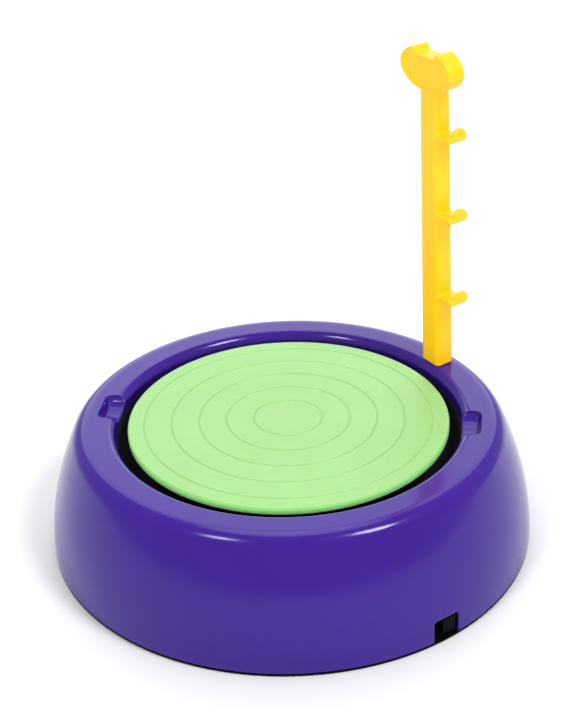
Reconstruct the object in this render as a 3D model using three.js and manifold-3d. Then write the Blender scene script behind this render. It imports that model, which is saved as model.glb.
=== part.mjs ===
// Battery-powered toy pottery wheel: a low round housing with a sunken basin, a grooved
// turntable that lifts off its drive spindle, and a tool post that plugs into the rim.
// Millimetres, +Z up. The origin is on the spindle's axis, on the surface that the feet rest on.
import * as THREE from "three";
import { mergeVertices } from "three/addons/utils/BufferGeometryUtils.js";
import Module from "manifold-3d";

const wasm = await Module();
wasm.setup();

// ---------------------------------------------------------------- driving dimensions

const RAD = Math.PI / 180;
const GAP = 0.3; // clearance between pieces that touch
const ROUND = 52; // facets of the large turned pieces
const SMALL_ROUND = 18; // facets of pins, bushes and cells
const SCREW_ROUND = 10; // facets of screws and their holes
const FINE_ROUND = 16; // facets of small holes that show

const TABLE = { r: 80, top: 62.8, thick: 3.8, chamfer: 0.8 };
const GROOVE = { count: 5, first: 17.1, step: 13.7, wide: 1.4, deep: 0.8 };
const HUB = { r: 8.5, low: 50, socketTop: 58.4 }; // under the turntable, round the spindle's end
const SKIRT = { inner: 12.6, outer: 14.4, low: 49.5 }; // hangs outside the drain collar
const SPINDLE = { r: 4, across: 9, hexLow: 49, top: 58 };

const SHELL = { foot: 121.6, sill: 1.9, rim: 64.5, wall: 2.4 };
const FLANK = { drop: 14.5, low: 3, high: 60.3, power: 1.9 }; // the outer wall's inward curve
const SHOULDER = { start: 59.1, corner: 105, flat: 99 }; // rounded edge between wall and rim
const BASIN = { bevel: 90.3, lip: 86.2, lipZ: 62.2, wallR: 85.3, floorR: 81.5, floor: 46.9 };
const BASIN_BEND = 3.6; // height of the sloped step between the basin's wall and floor
const BASIN_UNDER = { floor: 1.4, wall: 2.3, lip: 2.2, bevel: 0.6, wallUp: 2.5, lipDown: 3.2 };
const COLLAR = { hole: 9.2, r: 11.4, top: 53 };

const POCKET = { az: [171.2, -8.8], reach: 95.4, inner: 80, width: 22.4, floor: 59.2, corner: 3 };
const PAN = { inner: 87.3, wall: 2.2, side: 2 }; // the pocket's underside, inside the rim
const SLEEVE_WALL = 2.2; // round the post's socket
const BOSS = { r: 97, wide: 4.2, foot: 5.3, pilot: 1.6, deep: 14, az: [60, 120, 215, 325] };
const FOOT = { r: 104, wide: 8, high: 1.9, taper: 0.5, az: [30, 150, 240, 300] };
const COVER = { flange: 121.5, low: 0.4, step: 1.6, top: 3.1, plug: 118.4, chamfer: 0.4 };
const COVER_RING_R = 6; // under each boss
const SINK = { r: 3.4, deep: 2.9, hole: 1.7 }; // countersunk holes of the cover's screws

const POST = { r: 94.5, az: 32.5, lean: 1.95, wide: 13.8, deep: 10.9, high: 154, taper: 0.09 };
const POST_CORNER = 2.4;
const TONGUE = { wide: 9, deep: 6.6, long: 16 };
const HEAD = { up: 160.7, front: -6.4, back: 3.1, a: 18.8, b: 10.8, rim: 1.5, dish: 0.9 };
const NOTCH = { half: 7.8, sill: 6.4, tip: 1.4, bend: 2 }; // in the head's top
const HOOK = { up: [39.4, 84.6, 126.5], out: [10.2, 9.6, 9], near: -4.2, thick: 2.3, root: 0.9 };
const LOBE = { x: 2.8, r: 4, tall: 6.7 }; // the hook's upturned end

const SWITCH = { az: -55.2, width: 14.6, top: 13, corner: 1.2, front: 117.2, back: 112.6 };
const SWITCH_BASE = { back: 107, inset: 2, margin: 1 };
const TRACK = { back: 114.2, half: 6.4, up: 2.6, down: 3.6 };
const KNOB = { half: 3.5, at: 2.6, back: 117.6, front: 120.3, up: 0.4, top: 11.2, grip: 0.35 };
const KNOB_GRIPS = { deep: 0.5, step: 2.1 };
const STEM = { back: 114.6, half: 1.8, up: 3, down: 4 };

const CELL = { r: 7.05, body: 48.5, nub: 1.3, nubR: 2.7, edge: 0.8, pitch: 15.2, y: -72, z: 11.3 };
const CELL_COUNT = 4;
const BAY = { w: 62, l: 55, top: 19.4, wall: 1.8 };
const CONTACT = { half: 5, thick: 0.5, coneR: 4.2, coneTip: 2.6, coneHigh: 1.9, sunk: 0.1 };
const DOOR_MARGIN = 0.6; // between the door and the bay's walls
const TAB = { half: 9, long: 12, screw: 6 }; // the door's latch tab
const DOOR_TOP = 2.8;
const RIB = { step: 10, each: 2, half: 0.8, margin: 8, low: 2, top: 3.7 }; // stiffen the door
const DOOR_SINK = { r: 2.9, deep: 1.7, hole: 1.7 };
const LUG = { r: 4, top: 12, webHalf: 2, webUp: 3 }; // takes the door's screw
const LEAD_SLOT = { half: 1.5, low: 9, top: 12 };

const TEETH = { output: 48, small: 12, large: 40, pinion: 12 }; // all of module 1
const TOOTH = { root: 1.15, tip: 0.85, rootShare: 0.34, tipShare: 0.15 };
const BACKLASH = 0.04; // share of the pitch taken off each flank so that the teeth run free
const GEAR_Z = { output: [27.6, 32.8], large: [34.8, 38.4], small: [26.6, 35.4] };
const PINION_Z = [34.6, 38.6];
const COMPOUND_AT = new THREE.Vector2(0, (TEETH.output + TEETH.small) / 2);
const MOTOR_DIRECTION = 20; // degrees, seen from the compound gear
const MOTOR_AT = COMPOUND_AT.clone().add(
  polar((TEETH.large + TEETH.pinion) / 2, MOTOR_DIRECTION),
);
const AXLE = { r: 1.5, bore: 1.8, round: 12, proud: 0.6 }; // the compound gear's pin

const FRAME = { low: 20, high: 22.5, cover: 39.8, coverTop: 41.6 };
const PLATE_CORNERS = [
  [-36, -9],
  [36, -9],
  [47, 42],
  [47, 57],
  [-13, 61],
  [-36, 12],
];
const STANDOFFS = [
  [-30, 4],
  [31, 0],
  [-8, 55],
  [41, 50],
];
const STANDOFF = { r: 3.5, pilot: 1.3, pilotLow: 30 };
const BUSH = { bore: 4.3, r: 6.5, seat: 6.8, top: 27.2, flange: 8.4, low: 39, flangeLow: 42 };
const BUSH_TOP = 43;
const BEARING = { r: 9.2, top: 27 }; // raised round the lower bush
const MOTOR = { r: 10, flat: 7.6, low: 12, high: 33, noseR: 3, nose: 34, bore: 1.4, boreLow: 28 };
const END_CAP_Z = [9.3, 11.7];
const SHAFT = { r: 1, low: 28.5, top: 39, round: 12 };
const CUP = { outer: 12.4, low: 7.5, hole: 6, well: 10.4, wellLow: 9 }; // holds the motor
const SCREW = {
  gearbox: { headR: 2.4, headHigh: 1.4, shankR: 1, long: 8 },
  cover: { headR: 3, headHigh: 1.5, shankR: 1.25, long: 13, z: 2.5 },
  door: { headR: 2.5, headHigh: 0.9, shankR: 1.1, long: 6, z: 1.6 },
};
const SCREW_SLOT = { half: 0.35, deep: 0.6, point: 1.5, crown: 0.8 };
const LEAD_R = 0.7;

const OVER = 1; // how far a cutting tool runs past the faces it opens
const FAR = 20; // and where nothing else is in its way

// ---------------------------------------------------------------- colours

const PURPLE = { color: 0x4b32a0, roughness: 0.25, metalness: 0 };
const GREEN = { color: 0x9fe088, roughness: 0.45, metalness: 0 };
const YELLOW = { color: 0xf6c81e, roughness: 0.35, metalness: 0 };
const BLACK = { color: 0x16161a, roughness: 0.55, metalness: 0 };
const RUBBER = { color: 0x222222, roughness: 0.9, metalness: 0 };
const STEEL = { color: 0xb8bcc2, roughness: 0.3, metalness: 1 };
const BRONZE = { color: 0xb07a3a, roughness: 0.4, metalness: 1 };
const NYLON = { color: 0xe9e6dc, roughness: 0.5, metalness: 0 };
const GREY = { color: 0x6d7278, roughness: 0.6, metalness: 0 };
const CELL_WRAP = { color: 0x2f6fae, roughness: 0.4, metalness: 0.2 };
const LEAD_COLOURS = [0xc02020, 0x2040b0, 0x101010];

// ---------------------------------------------------------------- solids

function polar(r, degrees) {
  return new THREE.Vector2(r * Math.cos(degrees * RAD), r * Math.sin(degrees * RAD));
}

// A closed geometry as a manifold solid, with repeated vertices merged.
function solid(geometry) {
  const bare = geometry.index ? geometry.toNonIndexed() : geometry.clone();
  bare.deleteAttribute("normal");
  bare.deleteAttribute("uv");
  const merged = mergeVertices(bare, 1e-4);
  const index = merged.index.array;
  const kept = [];
  for (let i = 0; i < index.length; i += 3) {
    const [a, b, c] = [index[i], index[i + 1], index[i + 2]];
    if (a !== b && b !== c && a !== c) kept.push(a, b, c);
  }
  return new wasm.Manifold(
    new wasm.Mesh({
      numProp: 3,
      vertProperties: merged.attributes.position.array,
      triVerts: new Uint32Array(kept),
    }),
  );
}

function geometryOf(body) {
  const mesh = body.getMesh();
  const position = new Float32Array(mesh.numVert * 3);
  for (let i = 0; i < mesh.numVert; i++) {
    const from = i * mesh.numProp;
    position.set(mesh.vertProperties.subarray(from, from + 3), i * 3);
  }
  const geometry = new THREE.BufferGeometry();
  geometry.setAttribute("position", new THREE.BufferAttribute(position, 3));
  geometry.setIndex(new THREE.BufferAttribute(new Uint32Array(mesh.triVerts), 1));
  geometry.computeVertexNormals();
  return geometry;
}

function join(...bodies) {
  return bodies.reduce((whole, body) => whole.add(body));
}

function cut(body, ...tools) {
  return tools.reduce((rest, tool) => rest.subtract(tool), body);
}

// A turned solid from its outline of [radius, height] points, listed anticlockwise.
function turned(outline, facets = SMALL_ROUND) {
  const points = outline.map(([r, z]) => new THREE.Vector2(r, z));
  const closed = points[0].x === 0 ? points : [...points, points[0].clone()];
  return solid(new THREE.LatheGeometry(closed, facets).rotateX(Math.PI / 2));
}

function pin(r, low, high, facets = SMALL_ROUND) {
  const outline = [
    [0, low],
    [r, low],
    [r, high],
    [0, high],
  ];
  return turned(outline, facets);
}

function ring(inner, outer, low, high, facets = SMALL_ROUND) {
  const outline = [
    [inner, low],
    [outer, low],
    [outer, high],
    [inner, high],
  ];
  return turned(outline, facets);
}

function prism(shape, low, high, curveSegments = 8) {
  const options = { depth: high - low, bevelEnabled: false, curveSegments };
  return solid(new THREE.ExtrudeGeometry(shape, options).translate(0, 0, low));
}

function block(x0, x1, y0, y1, z0, z1) {
  const box = new THREE.BoxGeometry(x1 - x0, y1 - y0, z1 - z0);
  return solid(box.translate((x0 + x1) / 2, (y0 + y1) / 2, (z0 + z1) / 2));
}

function placed(body, matrix) {
  return solid(geometryOf(body).applyMatrix4(matrix));
}

function moved(body, x, y, z = 0) {
  return placed(body, new THREE.Matrix4().makeTranslation(x, y, z));
}

// Turns a body that was made on the +X side of the axis round to an azimuth.
function swung(body, degrees) {
  return placed(body, new THREE.Matrix4().makeRotationZ(degrees * RAD));
}

function roundedRectangle(x0, x1, y0, y1, r) {
  const shape = new THREE.Shape();
  shape.moveTo(x0 + r, y0);
  shape.lineTo(x1 - r, y0);
  shape.absarc(x1 - r, y0 + r, r, -Math.PI / 2, 0);
  shape.lineTo(x1, y1 - r);
  shape.absarc(x1 - r, y1 - r, r, 0, Math.PI / 2);
  shape.lineTo(x0 + r, y1);
  shape.absarc(x0 + r, y1 - r, r, Math.PI / 2, Math.PI);
  shape.lineTo(x0, y0 + r);
  shape.absarc(x0 + r, y0 + r, r, Math.PI, 1.5 * Math.PI);
  return shape;
}

function hexagon(acrossFlats) {
  const corner = acrossFlats / 2 / Math.cos(30 * RAD);
  return new THREE.Shape(Array.from({ length: 6 }, (_, i) => polar(corner, 60 * i)));
}

// ---------------------------------------------------------------- the assembly

const group = new THREE.Group();

function add(name, body, finish, parent = group) {
  const mesh = new THREE.Mesh(geometryOf(body), new THREE.MeshStandardMaterial(finish));
  mesh.name = name;
  parent.add(mesh);
  return mesh;
}

// ---------------------------------------------------------------- housing

// Outer radius of the shell's flank at a height.
function flankR(z) {
  const share = Math.max(0, z - FLANK.low) / (FLANK.high - FLANK.low);
  return SHELL.foot - FLANK.drop * share ** FLANK.power;
}

// Points of the flank and the shoulder, moved inward by an inset.
function flankOutline(inset, steps, bendSteps) {
  const points = [];
  for (let i = 0; i <= steps; i++) {
    const z = SHELL.sill + ((SHOULDER.start - SHELL.sill) * i) / steps;
    points.push([flankR(z) - inset, i === 0 ? z : z - inset * 0.25 * (i / steps)]);
  }
  const from = new THREE.Vector2(...points[steps]);
  const corner = new THREE.Vector2(SHOULDER.corner - inset * 0.6, SHELL.rim - inset);
  const to = new THREE.Vector2(SHOULDER.flat - inset * 0.3, SHELL.rim - inset);
  const bend = new THREE.QuadraticBezierCurve(from, corner, to);
  return [...points, ...bend.getPoints(bendSteps).slice(1).map((p) => [p.x, p.y])];
}

function shellOutline() {
  const under = BASIN.floor - SHELL.wall;
  const outside = flankOutline(0, 6, 4);
  const inside = flankOutline(SHELL.wall, 3, 2).reverse();
  return [
    ...outside,
    [BASIN.bevel, SHELL.rim],
    [BASIN.lip, BASIN.lipZ],
    [BASIN.wallR, BASIN.floor + BASIN_BEND],
    [BASIN.floorR, BASIN.floor],
    [COLLAR.r, BASIN.floor],
    [COLLAR.r, COLLAR.top],
    [COLLAR.hole, COLLAR.top],
    [COLLAR.hole, under],
    [BASIN.floorR + BASIN_UNDER.floor, under],
    [BASIN.wallR + BASIN_UNDER.wall, BASIN.floor + BASIN_UNDER.wallUp],
    [BASIN.lip + BASIN_UNDER.lip, SHELL.rim - BASIN_UNDER.lipDown],
    [BASIN.bevel + BASIN_UNDER.bevel, SHELL.rim - SHELL.wall],
    ...inside,
  ];
}

// The post's own frame: X outward from the wheel, Z along the leaning post, foot on the rim.
function postMatrix() {
  const foot = polar(POST.r, POST.az);
  const turn = new THREE.Euler(0, -POST.lean * RAD, POST.az * RAD, "ZYX");
  return new THREE.Matrix4()
    .makeRotationFromEuler(turn)
    .setPosition(foot.x, foot.y, SHELL.rim);
}

// The tool rests: a pan under the rim at each side, hollowed from above.
function withPockets(body) {
  const { az, reach, inner, width, floor, corner } = POCKET;
  const half = width / 2;
  const panHalf = half + PAN.side;
  const rimUnder = SHELL.rim - SHELL.wall;
  const pan = block(PAN.inner, reach + PAN.wall, -panHalf, panHalf, floor - PAN.wall, rimUnder + OVER);
  const hollow = roundedRectangle(inner, reach, -half, half, corner);
  const scoop = prism(hollow, floor, SHELL.rim + OVER, 4);
  const thick = join(body, ...az.map((degrees) => swung(pan, degrees)));
  return cut(thick, ...az.map((degrees) => swung(scoop, degrees)));
}

// The sleeve inside the rim that takes the post's tongue.
function withSocket(body) {
  const [w, d] = [TONGUE.wide / 2 + GAP, TONGUE.deep / 2 + GAP];
  const [outerW, outerD] = [w + SLEEVE_WALL, d + SLEEVE_WALL];
  const deep = TONGUE.long + 2 * GAP;
  const sleeve = block(-outerD, outerD, -outerW, outerW, -deep - SLEEVE_WALL, -OVER);
  const slot = block(-d, d, -w, w, -deep, OVER);
  return cut(join(body, placed(sleeve, postMatrix())), placed(slot, postMatrix()));
}

function withBosses(body) {
  const tower = pin(BOSS.wide, BOSS.foot, SHELL.rim - SHELL.wall / 2, 12);
  const pilot = pin(BOSS.pilot, BOSS.foot - OVER, BOSS.foot + BOSS.deep, SCREW_ROUND);
  return BOSS.az.reduce((rest, az) => {
    const at = polar(BOSS.r, az);
    return cut(join(rest, moved(tower, at.x, at.y)), moved(pilot, at.x, at.y));
  }, body);
}

function housingShell() {
  const body = withBosses(withSocket(withPockets(turned(shellOutline(), ROUND))));
  const half = SWITCH.width / 2;
  const gateShape = roundedRectangle(-half, half, -FAR, SWITCH.top, SWITCH.corner);
  const gate = upright(gateShape, SWITCH_BASE.back - 2 * OVER, SHELL.foot + OVER, 0, 3);
  return cut(body, swung(gate, SWITCH.az));
}

// ---------------------------------------------------------------- turntable and spindle

function turntable() {
  const { r, top, thick, chamfer } = TABLE;
  const low = top - thick;
  const outline = [
    [0, HUB.low],
    [HUB.r, HUB.low],
    [HUB.r, low],
    [SKIRT.inner, low],
    [SKIRT.inner, SKIRT.low],
    [SKIRT.outer, SKIRT.low],
    [SKIRT.outer, low],
    [r, low],
    [r, top - chamfer],
    [r - chamfer, top],
  ];
  for (let i = GROOVE.count - 1; i >= 0; i--) {
    const middle = GROOVE.first + GROOVE.step * i;
    outline.push([middle + GROOVE.wide / 2, top]);
    outline.push([middle, top - GROOVE.deep]);
    outline.push([middle - GROOVE.wide / 2, top]);
  }
  outline.push([0, top]);
  const socket = prism(hexagon(SPINDLE.across + 2 * GAP), HUB.low - OVER, HUB.socketTop);
  return cut(turned(outline, ROUND), socket);
}

function driveSpindle() {
  const { r, across, hexLow, top } = SPINDLE;
  const shaft = pin(r, FRAME.high + GAP, hexLow + GAP, 20);
  return join(shaft, prism(hexagon(across), hexLow, top));
}

// ---------------------------------------------------------------- gears

// A spur gear of module 1 whose tooth, or gap when turned by half a tooth, lies at a phase.
function gearShape(teeth, phase, bore) {
  const pitch = 360 / teeth;
  const root = teeth / 2 - TOOTH.root;
  const tip = teeth / 2 + TOOTH.tip;
  const rootHalf = pitch * (TOOTH.rootShare - BACKLASH);
  const tipHalf = pitch * (TOOTH.tipShare - BACKLASH);
  const outline = [];
  for (let i = 0; i < teeth; i++) {
    const middle = phase + pitch * i;
    outline.push(polar(root, middle - rootHalf));
    outline.push(polar(tip, middle - tipHalf));
    outline.push(polar(tip, middle + tipHalf));
    outline.push(polar(root, middle + rootHalf));
  }
  const shape = new THREE.Shape(outline);
  shape.holes.push(new THREE.Path().absarc(0, 0, bore, 0, 2 * Math.PI, true));
  return shape;
}

// Phases that put a tooth of one gear in a gap of the next along each line of centres.
const halfPitch = (teeth) => 180 / teeth;
const OUTPUT_PHASE = 90;
const SMALL_PHASE = 270 + halfPitch(TEETH.small);
const LARGE_PHASE = MOTOR_DIRECTION;
const PINION_PHASE = MOTOR_DIRECTION + 180 + halfPitch(TEETH.pinion);

function compoundGear() {
  const large = prism(gearShape(TEETH.large, LARGE_PHASE, AXLE.bore), ...GEAR_Z.large, 6);
  const small = prism(gearShape(TEETH.small, SMALL_PHASE, AXLE.bore), ...GEAR_Z.small, 6);
  return cut(join(large, small), pin(AXLE.bore, FRAME.low, FRAME.coverTop, AXLE.round));
}

// ---------------------------------------------------------------- gearbox and motor

function plateShape() {
  return new THREE.Shape(PLATE_CORNERS.map(([x, y]) => new THREE.Vector2(x, y)));
}

function standoffPilots() {
  const pilot = pin(STANDOFF.pilot, STANDOFF.pilotLow, FRAME.coverTop + OVER, SCREW_ROUND);
  return STANDOFFS.map(([x, y]) => moved(pilot, x, y));
}

function axleHole(low) {
  const hole = pin(AXLE.bore, low, FRAME.coverTop + OVER, AXLE.round);
  return moved(hole, COMPOUND_AT.x, COMPOUND_AT.y);
}

function gearboxFrame() {
  const { x, y } = MOTOR_AT;
  const { low, high, cover } = FRAME;
  const leg = pin(STANDOFF.r, COVER.top + GAP, cover - GAP, SCREW_ROUND);
  const legs = STANDOFFS.map(([sx, sy]) => moved(leg, sx, sy));
  const cup = moved(ring(CUP.hole, CUP.outer, CUP.low, low + OVER), x, y);
  const bearing = ring(BUSH.seat, BEARING.r, high - OVER / 2, BEARING.top);
  const body = join(prism(plateShape(), low, high), ...legs, cup, bearing);
  const well = moved(pin(CUP.well, CUP.wellLow, high + OVER), x, y);
  const opening = moved(pin(CUP.hole, CUP.low - 2 * OVER, CUP.wellLow + OVER, FINE_ROUND), x, y);
  return cut(body, well, opening, axleHole(low + OVER), ...standoffPilots());
}

function gearboxCover() {
  const { cover, coverTop } = FRAME;
  const bushHole = pin(BUSH.seat, cover - OVER, coverTop + OVER);
  const plate = prism(plateShape(), cover, coverTop);
  return cut(plate, ...standoffPilots(), bushHole, axleHole(cover - OVER));
}

function smallScrew({ headR, headHigh, shankR, long }) {
  const { half, deep, point, crown } = SCREW_SLOT;
  const outline = [
    [0, -long],
    [shankR, point - long],
    [shankR, 0],
    [headR, 0],
    [headR * crown, headHigh],
    [0, headHigh],
  ];
  const across = headR + OVER;
  const slot = block(-across, across, -half, half, headHigh - deep, headHigh + OVER);
  return cut(turned(outline, SCREW_ROUND), slot);
}

function motorShape() {
  const { r, flat } = MOTOR;
  const edge = Math.asin(flat / r);
  const shape = new THREE.Shape();
  shape.absarc(0, 0, r, -edge, edge);
  shape.absarc(0, 0, r, Math.PI - edge, Math.PI + edge);
  return shape;
}

function motorCan() {
  const { low, high, noseR, nose, bore, boreLow } = MOTOR;
  const body = join(prism(motorShape(), low, high), pin(noseR, high - OVER / 2, nose));
  return cut(body, pin(bore, boreLow, nose + OVER, SHAFT.round));
}

// ---------------------------------------------------------------- bottom cover and battery bay

function coverScrewHoles() {
  const { r, deep, hole } = SINK;
  const above = BOSS.foot + OVER;
  const stepped = join(pin(r, -OVER, deep, SCREW_ROUND), pin(hole, 0, above, SCREW_ROUND));
  return BOSS.az.map((az) => {
    const at = polar(BOSS.r, az);
    return moved(stepped, at.x, at.y);
  });
}

const BAY_FRONT = CELL.y - BAY.l / 2;
const BAY_BACK = CELL.y + BAY.l / 2;
const DOOR = { x: BAY.w / 2 - DOOR_MARGIN, front: BAY_FRONT + DOOR_MARGIN, back: BAY_BACK - DOOR_MARGIN };
const LATCH_SCREW = new THREE.Vector2(0, DOOR.front - TAB.screw);

function bottomCover() {
  const { flange, low, step, top, plug, chamfer } = COVER;
  const outline = [
    [0, low],
    [flange - chamfer, low],
    [flange, low + chamfer],
    [flange, step],
    [plug, step],
    [plug, top],
    [0, top],
  ];
  const collar = pin(COVER_RING_R, top - OVER, BOSS.foot - GAP, 12);
  const collars = BOSS.az.map((az) => {
    const at = polar(BOSS.r, az);
    return moved(collar, at.x, at.y);
  });
  const recess = pin(FOOT.wide + GAP, -OVER, FOOT.high + GAP);
  const recesses = FOOT.az.map((az) => {
    const at = polar(FOOT.r, az);
    return moved(recess, at.x, at.y);
  });
  const body = cut(join(turned(outline, ROUND), ...collars), ...coverScrewHoles(), ...recesses);
  const doorX = DOOR.x + GAP;
  const tabX = TAB.half + GAP;
  const [front, back] = [DOOR.front - GAP, DOOR.back + GAP];
  const mouth = block(-doorX, doorX, front, back, -OVER, top + OVER);
  const tab = block(-tabX, tabX, front - TAB.long, front + 2 * OVER, -OVER, top + OVER);
  return cut(body, mouth, tab);
}

function batteryDoor() {
  const { low } = COVER;
  const { x, front, back } = DOOR;
  const leaf = block(-x, x, front, back, low, DOOR_TOP);
  const tab = block(-TAB.half, TAB.half, front - TAB.long, front + OVER, low, DOOR_TOP);
  const ribs = [];
  for (let i = -RIB.each; i <= RIB.each; i++) {
    const [x0, x1] = [i * RIB.step - RIB.half, i * RIB.step + RIB.half];
    ribs.push(block(x0, x1, front + RIB.margin, back - RIB.margin, RIB.low, RIB.top));
  }
  const { r, deep, hole } = DOOR_SINK;
  const stepped = join(pin(r, -OVER, deep, FINE_ROUND), pin(hole, 0, DOOR_TOP + OVER, 12));
  return cut(join(leaf, tab, ...ribs), moved(stepped, LATCH_SCREW.x, LATCH_SCREW.y));
}

function batteryBox() {
  const { w, top, wall } = BAY;
  const low = COVER.top + GAP;
  const [x, front, back] = [w / 2, BAY_FRONT, BAY_BACK];
  const outer = block(-x - wall, x + wall, front - wall, back + wall, low, top + wall);
  const inner = block(-x, x, front, back, low - OVER, top);
  const slots = [-1, 1].map((side) => {
    const { half, low: slotLow, top: slotTop } = LEAD_SLOT;
    const at = side * 1.5 * CELL.pitch;
    return block(at - half, at + half, back - OVER, back + wall + OVER, slotLow, slotTop);
  });
  const { x: sx, y: sy } = LATCH_SCREW;
  const lug = moved(pin(LUG.r, low, LUG.top, FINE_ROUND), sx, sy);
  const pilot = moved(pin(DOOR_SINK.hole, low - OVER, LUG.top - 2 * OVER, 12), sx, sy);
  const web = block(-LUG.webHalf, LUG.webHalf, sy, front, low + LUG.webUp, LUG.top);
  return cut(join(cut(outer, inner, ...slots), lug, web), pilot);
}

// A cell lying along Y with its raised terminal towards the given side.
function cell(side) {
  const { r, body, nub, nubR, edge } = CELL;
  const outline = [
    [0, -body / 2],
    [r, -body / 2],
    [r, body / 2 - edge],
    [r - edge, body / 2],
    [nubR, body / 2],
    [nubR, body / 2 + nub],
    [0, body / 2 + nub],
  ];
  return placed(turned(outline, FINE_ROUND), new THREE.Matrix4().makeRotationX((-side * Math.PI) / 2));
}

function cellX(i) {
  return (i - (CELL_COUNT - 1) / 2) * CELL.pitch;
}

function cellSide(i) {
  return i % 2 ? -1 : 1;
}

// A pressed contact across the bay's end wall, with a coil cone at each negative cell.
function contact(side, cells) {
  const { half, thick, coneR, coneTip, coneHigh, sunk } = CONTACT;
  const wallY = side > 0 ? BAY_BACK - GAP : BAY_FRONT + GAP;
  const inward = wallY - side * thick;
  const [x0, x1] = [cellX(cells[0]) - half, cellX(cells.at(-1)) + half];
  const [y0, y1] = side > 0 ? [inward, wallY] : [wallY, inward];
  const outline = [
    [0, 0],
    [coneR, 0],
    [coneTip, coneHigh],
    [0, coneHigh],
  ];
  const lie = new THREE.Matrix4().makeRotationX((side * Math.PI) / 2);
  const cone = placed(turned(outline, 14), lie);
  const cones = cells
    .filter((i) => cellSide(i) !== side)
    .map((i) => moved(cone, cellX(i), inward + side * sunk, CELL.z));
  return join(block(x0, x1, y0, y1, CELL.z - half, CELL.z + half), ...cones);
}

// ---------------------------------------------------------------- switch

const SWITCH_LOW = COVER.top + GAP;
const SWITCH_TOP = SWITCH.top - GAP;

function switchBody() {
  const { front, back } = SWITCH;
  const { inset, margin } = SWITCH_BASE;
  const half = SWITCH.width / 2 - GAP;
  const base = [half - inset, SWITCH_LOW + margin, SWITCH_TOP - margin];
  const faceShape = roundedRectangle(-half, half, SWITCH_LOW, SWITCH_TOP, SWITCH.corner);
  const face = upright(faceShape, back, front, 0, 3);
  const rear = block(SWITCH_BASE.back, back + OVER / 2, -base[0], base[0], base[1], base[2]);
  const [trackLow, trackTop] = [SWITCH_LOW + TRACK.up, SWITCH_TOP - TRACK.down];
  const track = block(TRACK.back, front + OVER, -TRACK.half, TRACK.half, trackLow, trackTop);
  return cut(join(face, rear), track);
}

function switchKnob() {
  const { half, at, back, front, up, top, grip } = KNOB;
  const [stemLow, stemTop] = [SWITCH_LOW + STEM.up, SWITCH_TOP - STEM.down];
  const stem = block(STEM.back, back + OVER / 2, -STEM.half, STEM.half, stemLow, stemTop);
  const cap = block(back, front, -half, half, SWITCH_LOW + up, top);
  const grips = [-1, 0, 1].map((i) => {
    const middle = i * KNOB_GRIPS.step;
    return block(front - KNOB_GRIPS.deep, front + OVER, middle - grip, middle + grip, -FAR, FAR);
  });
  return moved(cut(join(stem, cap), ...grips), 0, at);
}

// ---------------------------------------------------------------- tool post

// The head's oval, seen along the post's X axis, with the wide round-cornered notch in its top.
function headShape(inset) {
  const { half, sill, tip, bend } = NOTCH;
  const [a, b, side] = [HEAD.a - inset, HEAD.b - inset, half + inset];
  const edge = Math.acos((side + tip) / a);
  const peak = b * Math.sqrt(1 - (side / a) ** 2);
  const low = sill - inset;
  const shape = new THREE.Shape();
  shape.absellipse(0, 0, a, b, Math.PI - edge, 2 * Math.PI + edge, false);
  shape.quadraticCurveTo(side, peak, side, peak - tip);
  shape.lineTo(side, low + bend);
  shape.quadraticCurveTo(side, low, side - bend, low);
  shape.lineTo(bend - side, low);
  shape.quadraticCurveTo(-side, low, -side, low + bend);
  shape.lineTo(-side, peak - tip);
  shape.quadraticCurveTo(-side, peak, -side - tip, b * Math.sin(edge));
  return shape;
}

// Stands an outline drawn in (Y, Z) up in its place, from x0 to x1.
function upright(shape, x0, x1, up, curveSegments = 16) {
  const options = { depth: x1 - x0, bevelEnabled: false, curveSegments };
  const slab = new THREE.ExtrudeGeometry(shape, options);
  const basis = new THREE.Matrix4().makeBasis(
    new THREE.Vector3(0, 1, 0),
    new THREE.Vector3(0, 0, 1),
    new THREE.Vector3(1, 0, 0),
  );
  return solid(slab.applyMatrix4(basis).translate(x0, 0, up));
}

function postHead() {
  const { front, back, up, rim, dish } = HEAD;
  const drum = upright(headShape(0), front, back, up);
  return cut(drum, upright(headShape(rim), front - OVER, front + dish, up));
}

// A shelf across the post's side face, turned up at its end into a round lobe.
function postHook(up, out) {
  const { near, thick, root } = HOOK;
  const { x, r, tall } = LOBE;
  const rise = tall - r;
  const foot = Math.sqrt(r * r - rise * rise);
  const end = -POST.wide / 2 - out;
  const shelf = block(near, x + foot, end, root - POST.wide / 2, up, up + thick);
  const lobe = new THREE.Shape();
  lobe.moveTo(x - r, up);
  lobe.lineTo(x + foot, up);
  lobe.absarc(x, up + rise, r, -Math.asin(rise / r), Math.PI);
  const options = { depth: thick, bevelEnabled: false, curveSegments: 8 };
  const stand = new THREE.ExtrudeGeometry(lobe, options).rotateX(Math.PI / 2);
  return join(shelf, solid(stand.translate(0, end + thick, 0)));
}

function toolPost() {
  const { wide, deep, high, taper } = POST;
  const section = roundedRectangle(-deep / 2, deep / 2, -wide / 2, wide / 2, POST_CORNER);
  const options = { depth: high, steps: 1, bevelEnabled: false, curveSegments: 4 };
  const shaft = new THREE.ExtrudeGeometry(section, options);
  const position = shaft.attributes.position;
  for (let i = 0; i < position.count; i++) {
    const shrink = 1 - (taper * position.getZ(i)) / high;
    position.setX(i, position.getX(i) * shrink);
    position.setY(i, position.getY(i) * shrink);
  }
  shaft.translate(0, 0, GAP);
  const [w, d] = [TONGUE.wide / 2, TONGUE.deep / 2];
  const tongue = block(-d, d, -w, w, -TONGUE.long, GAP + OVER);
  const hooks = HOOK.up.map((up, i) => postHook(up, HOOK.out[i]));
  return join(solid(shaft), tongue, postHead(), ...hooks);
}

// ---------------------------------------------------------------- leads

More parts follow.
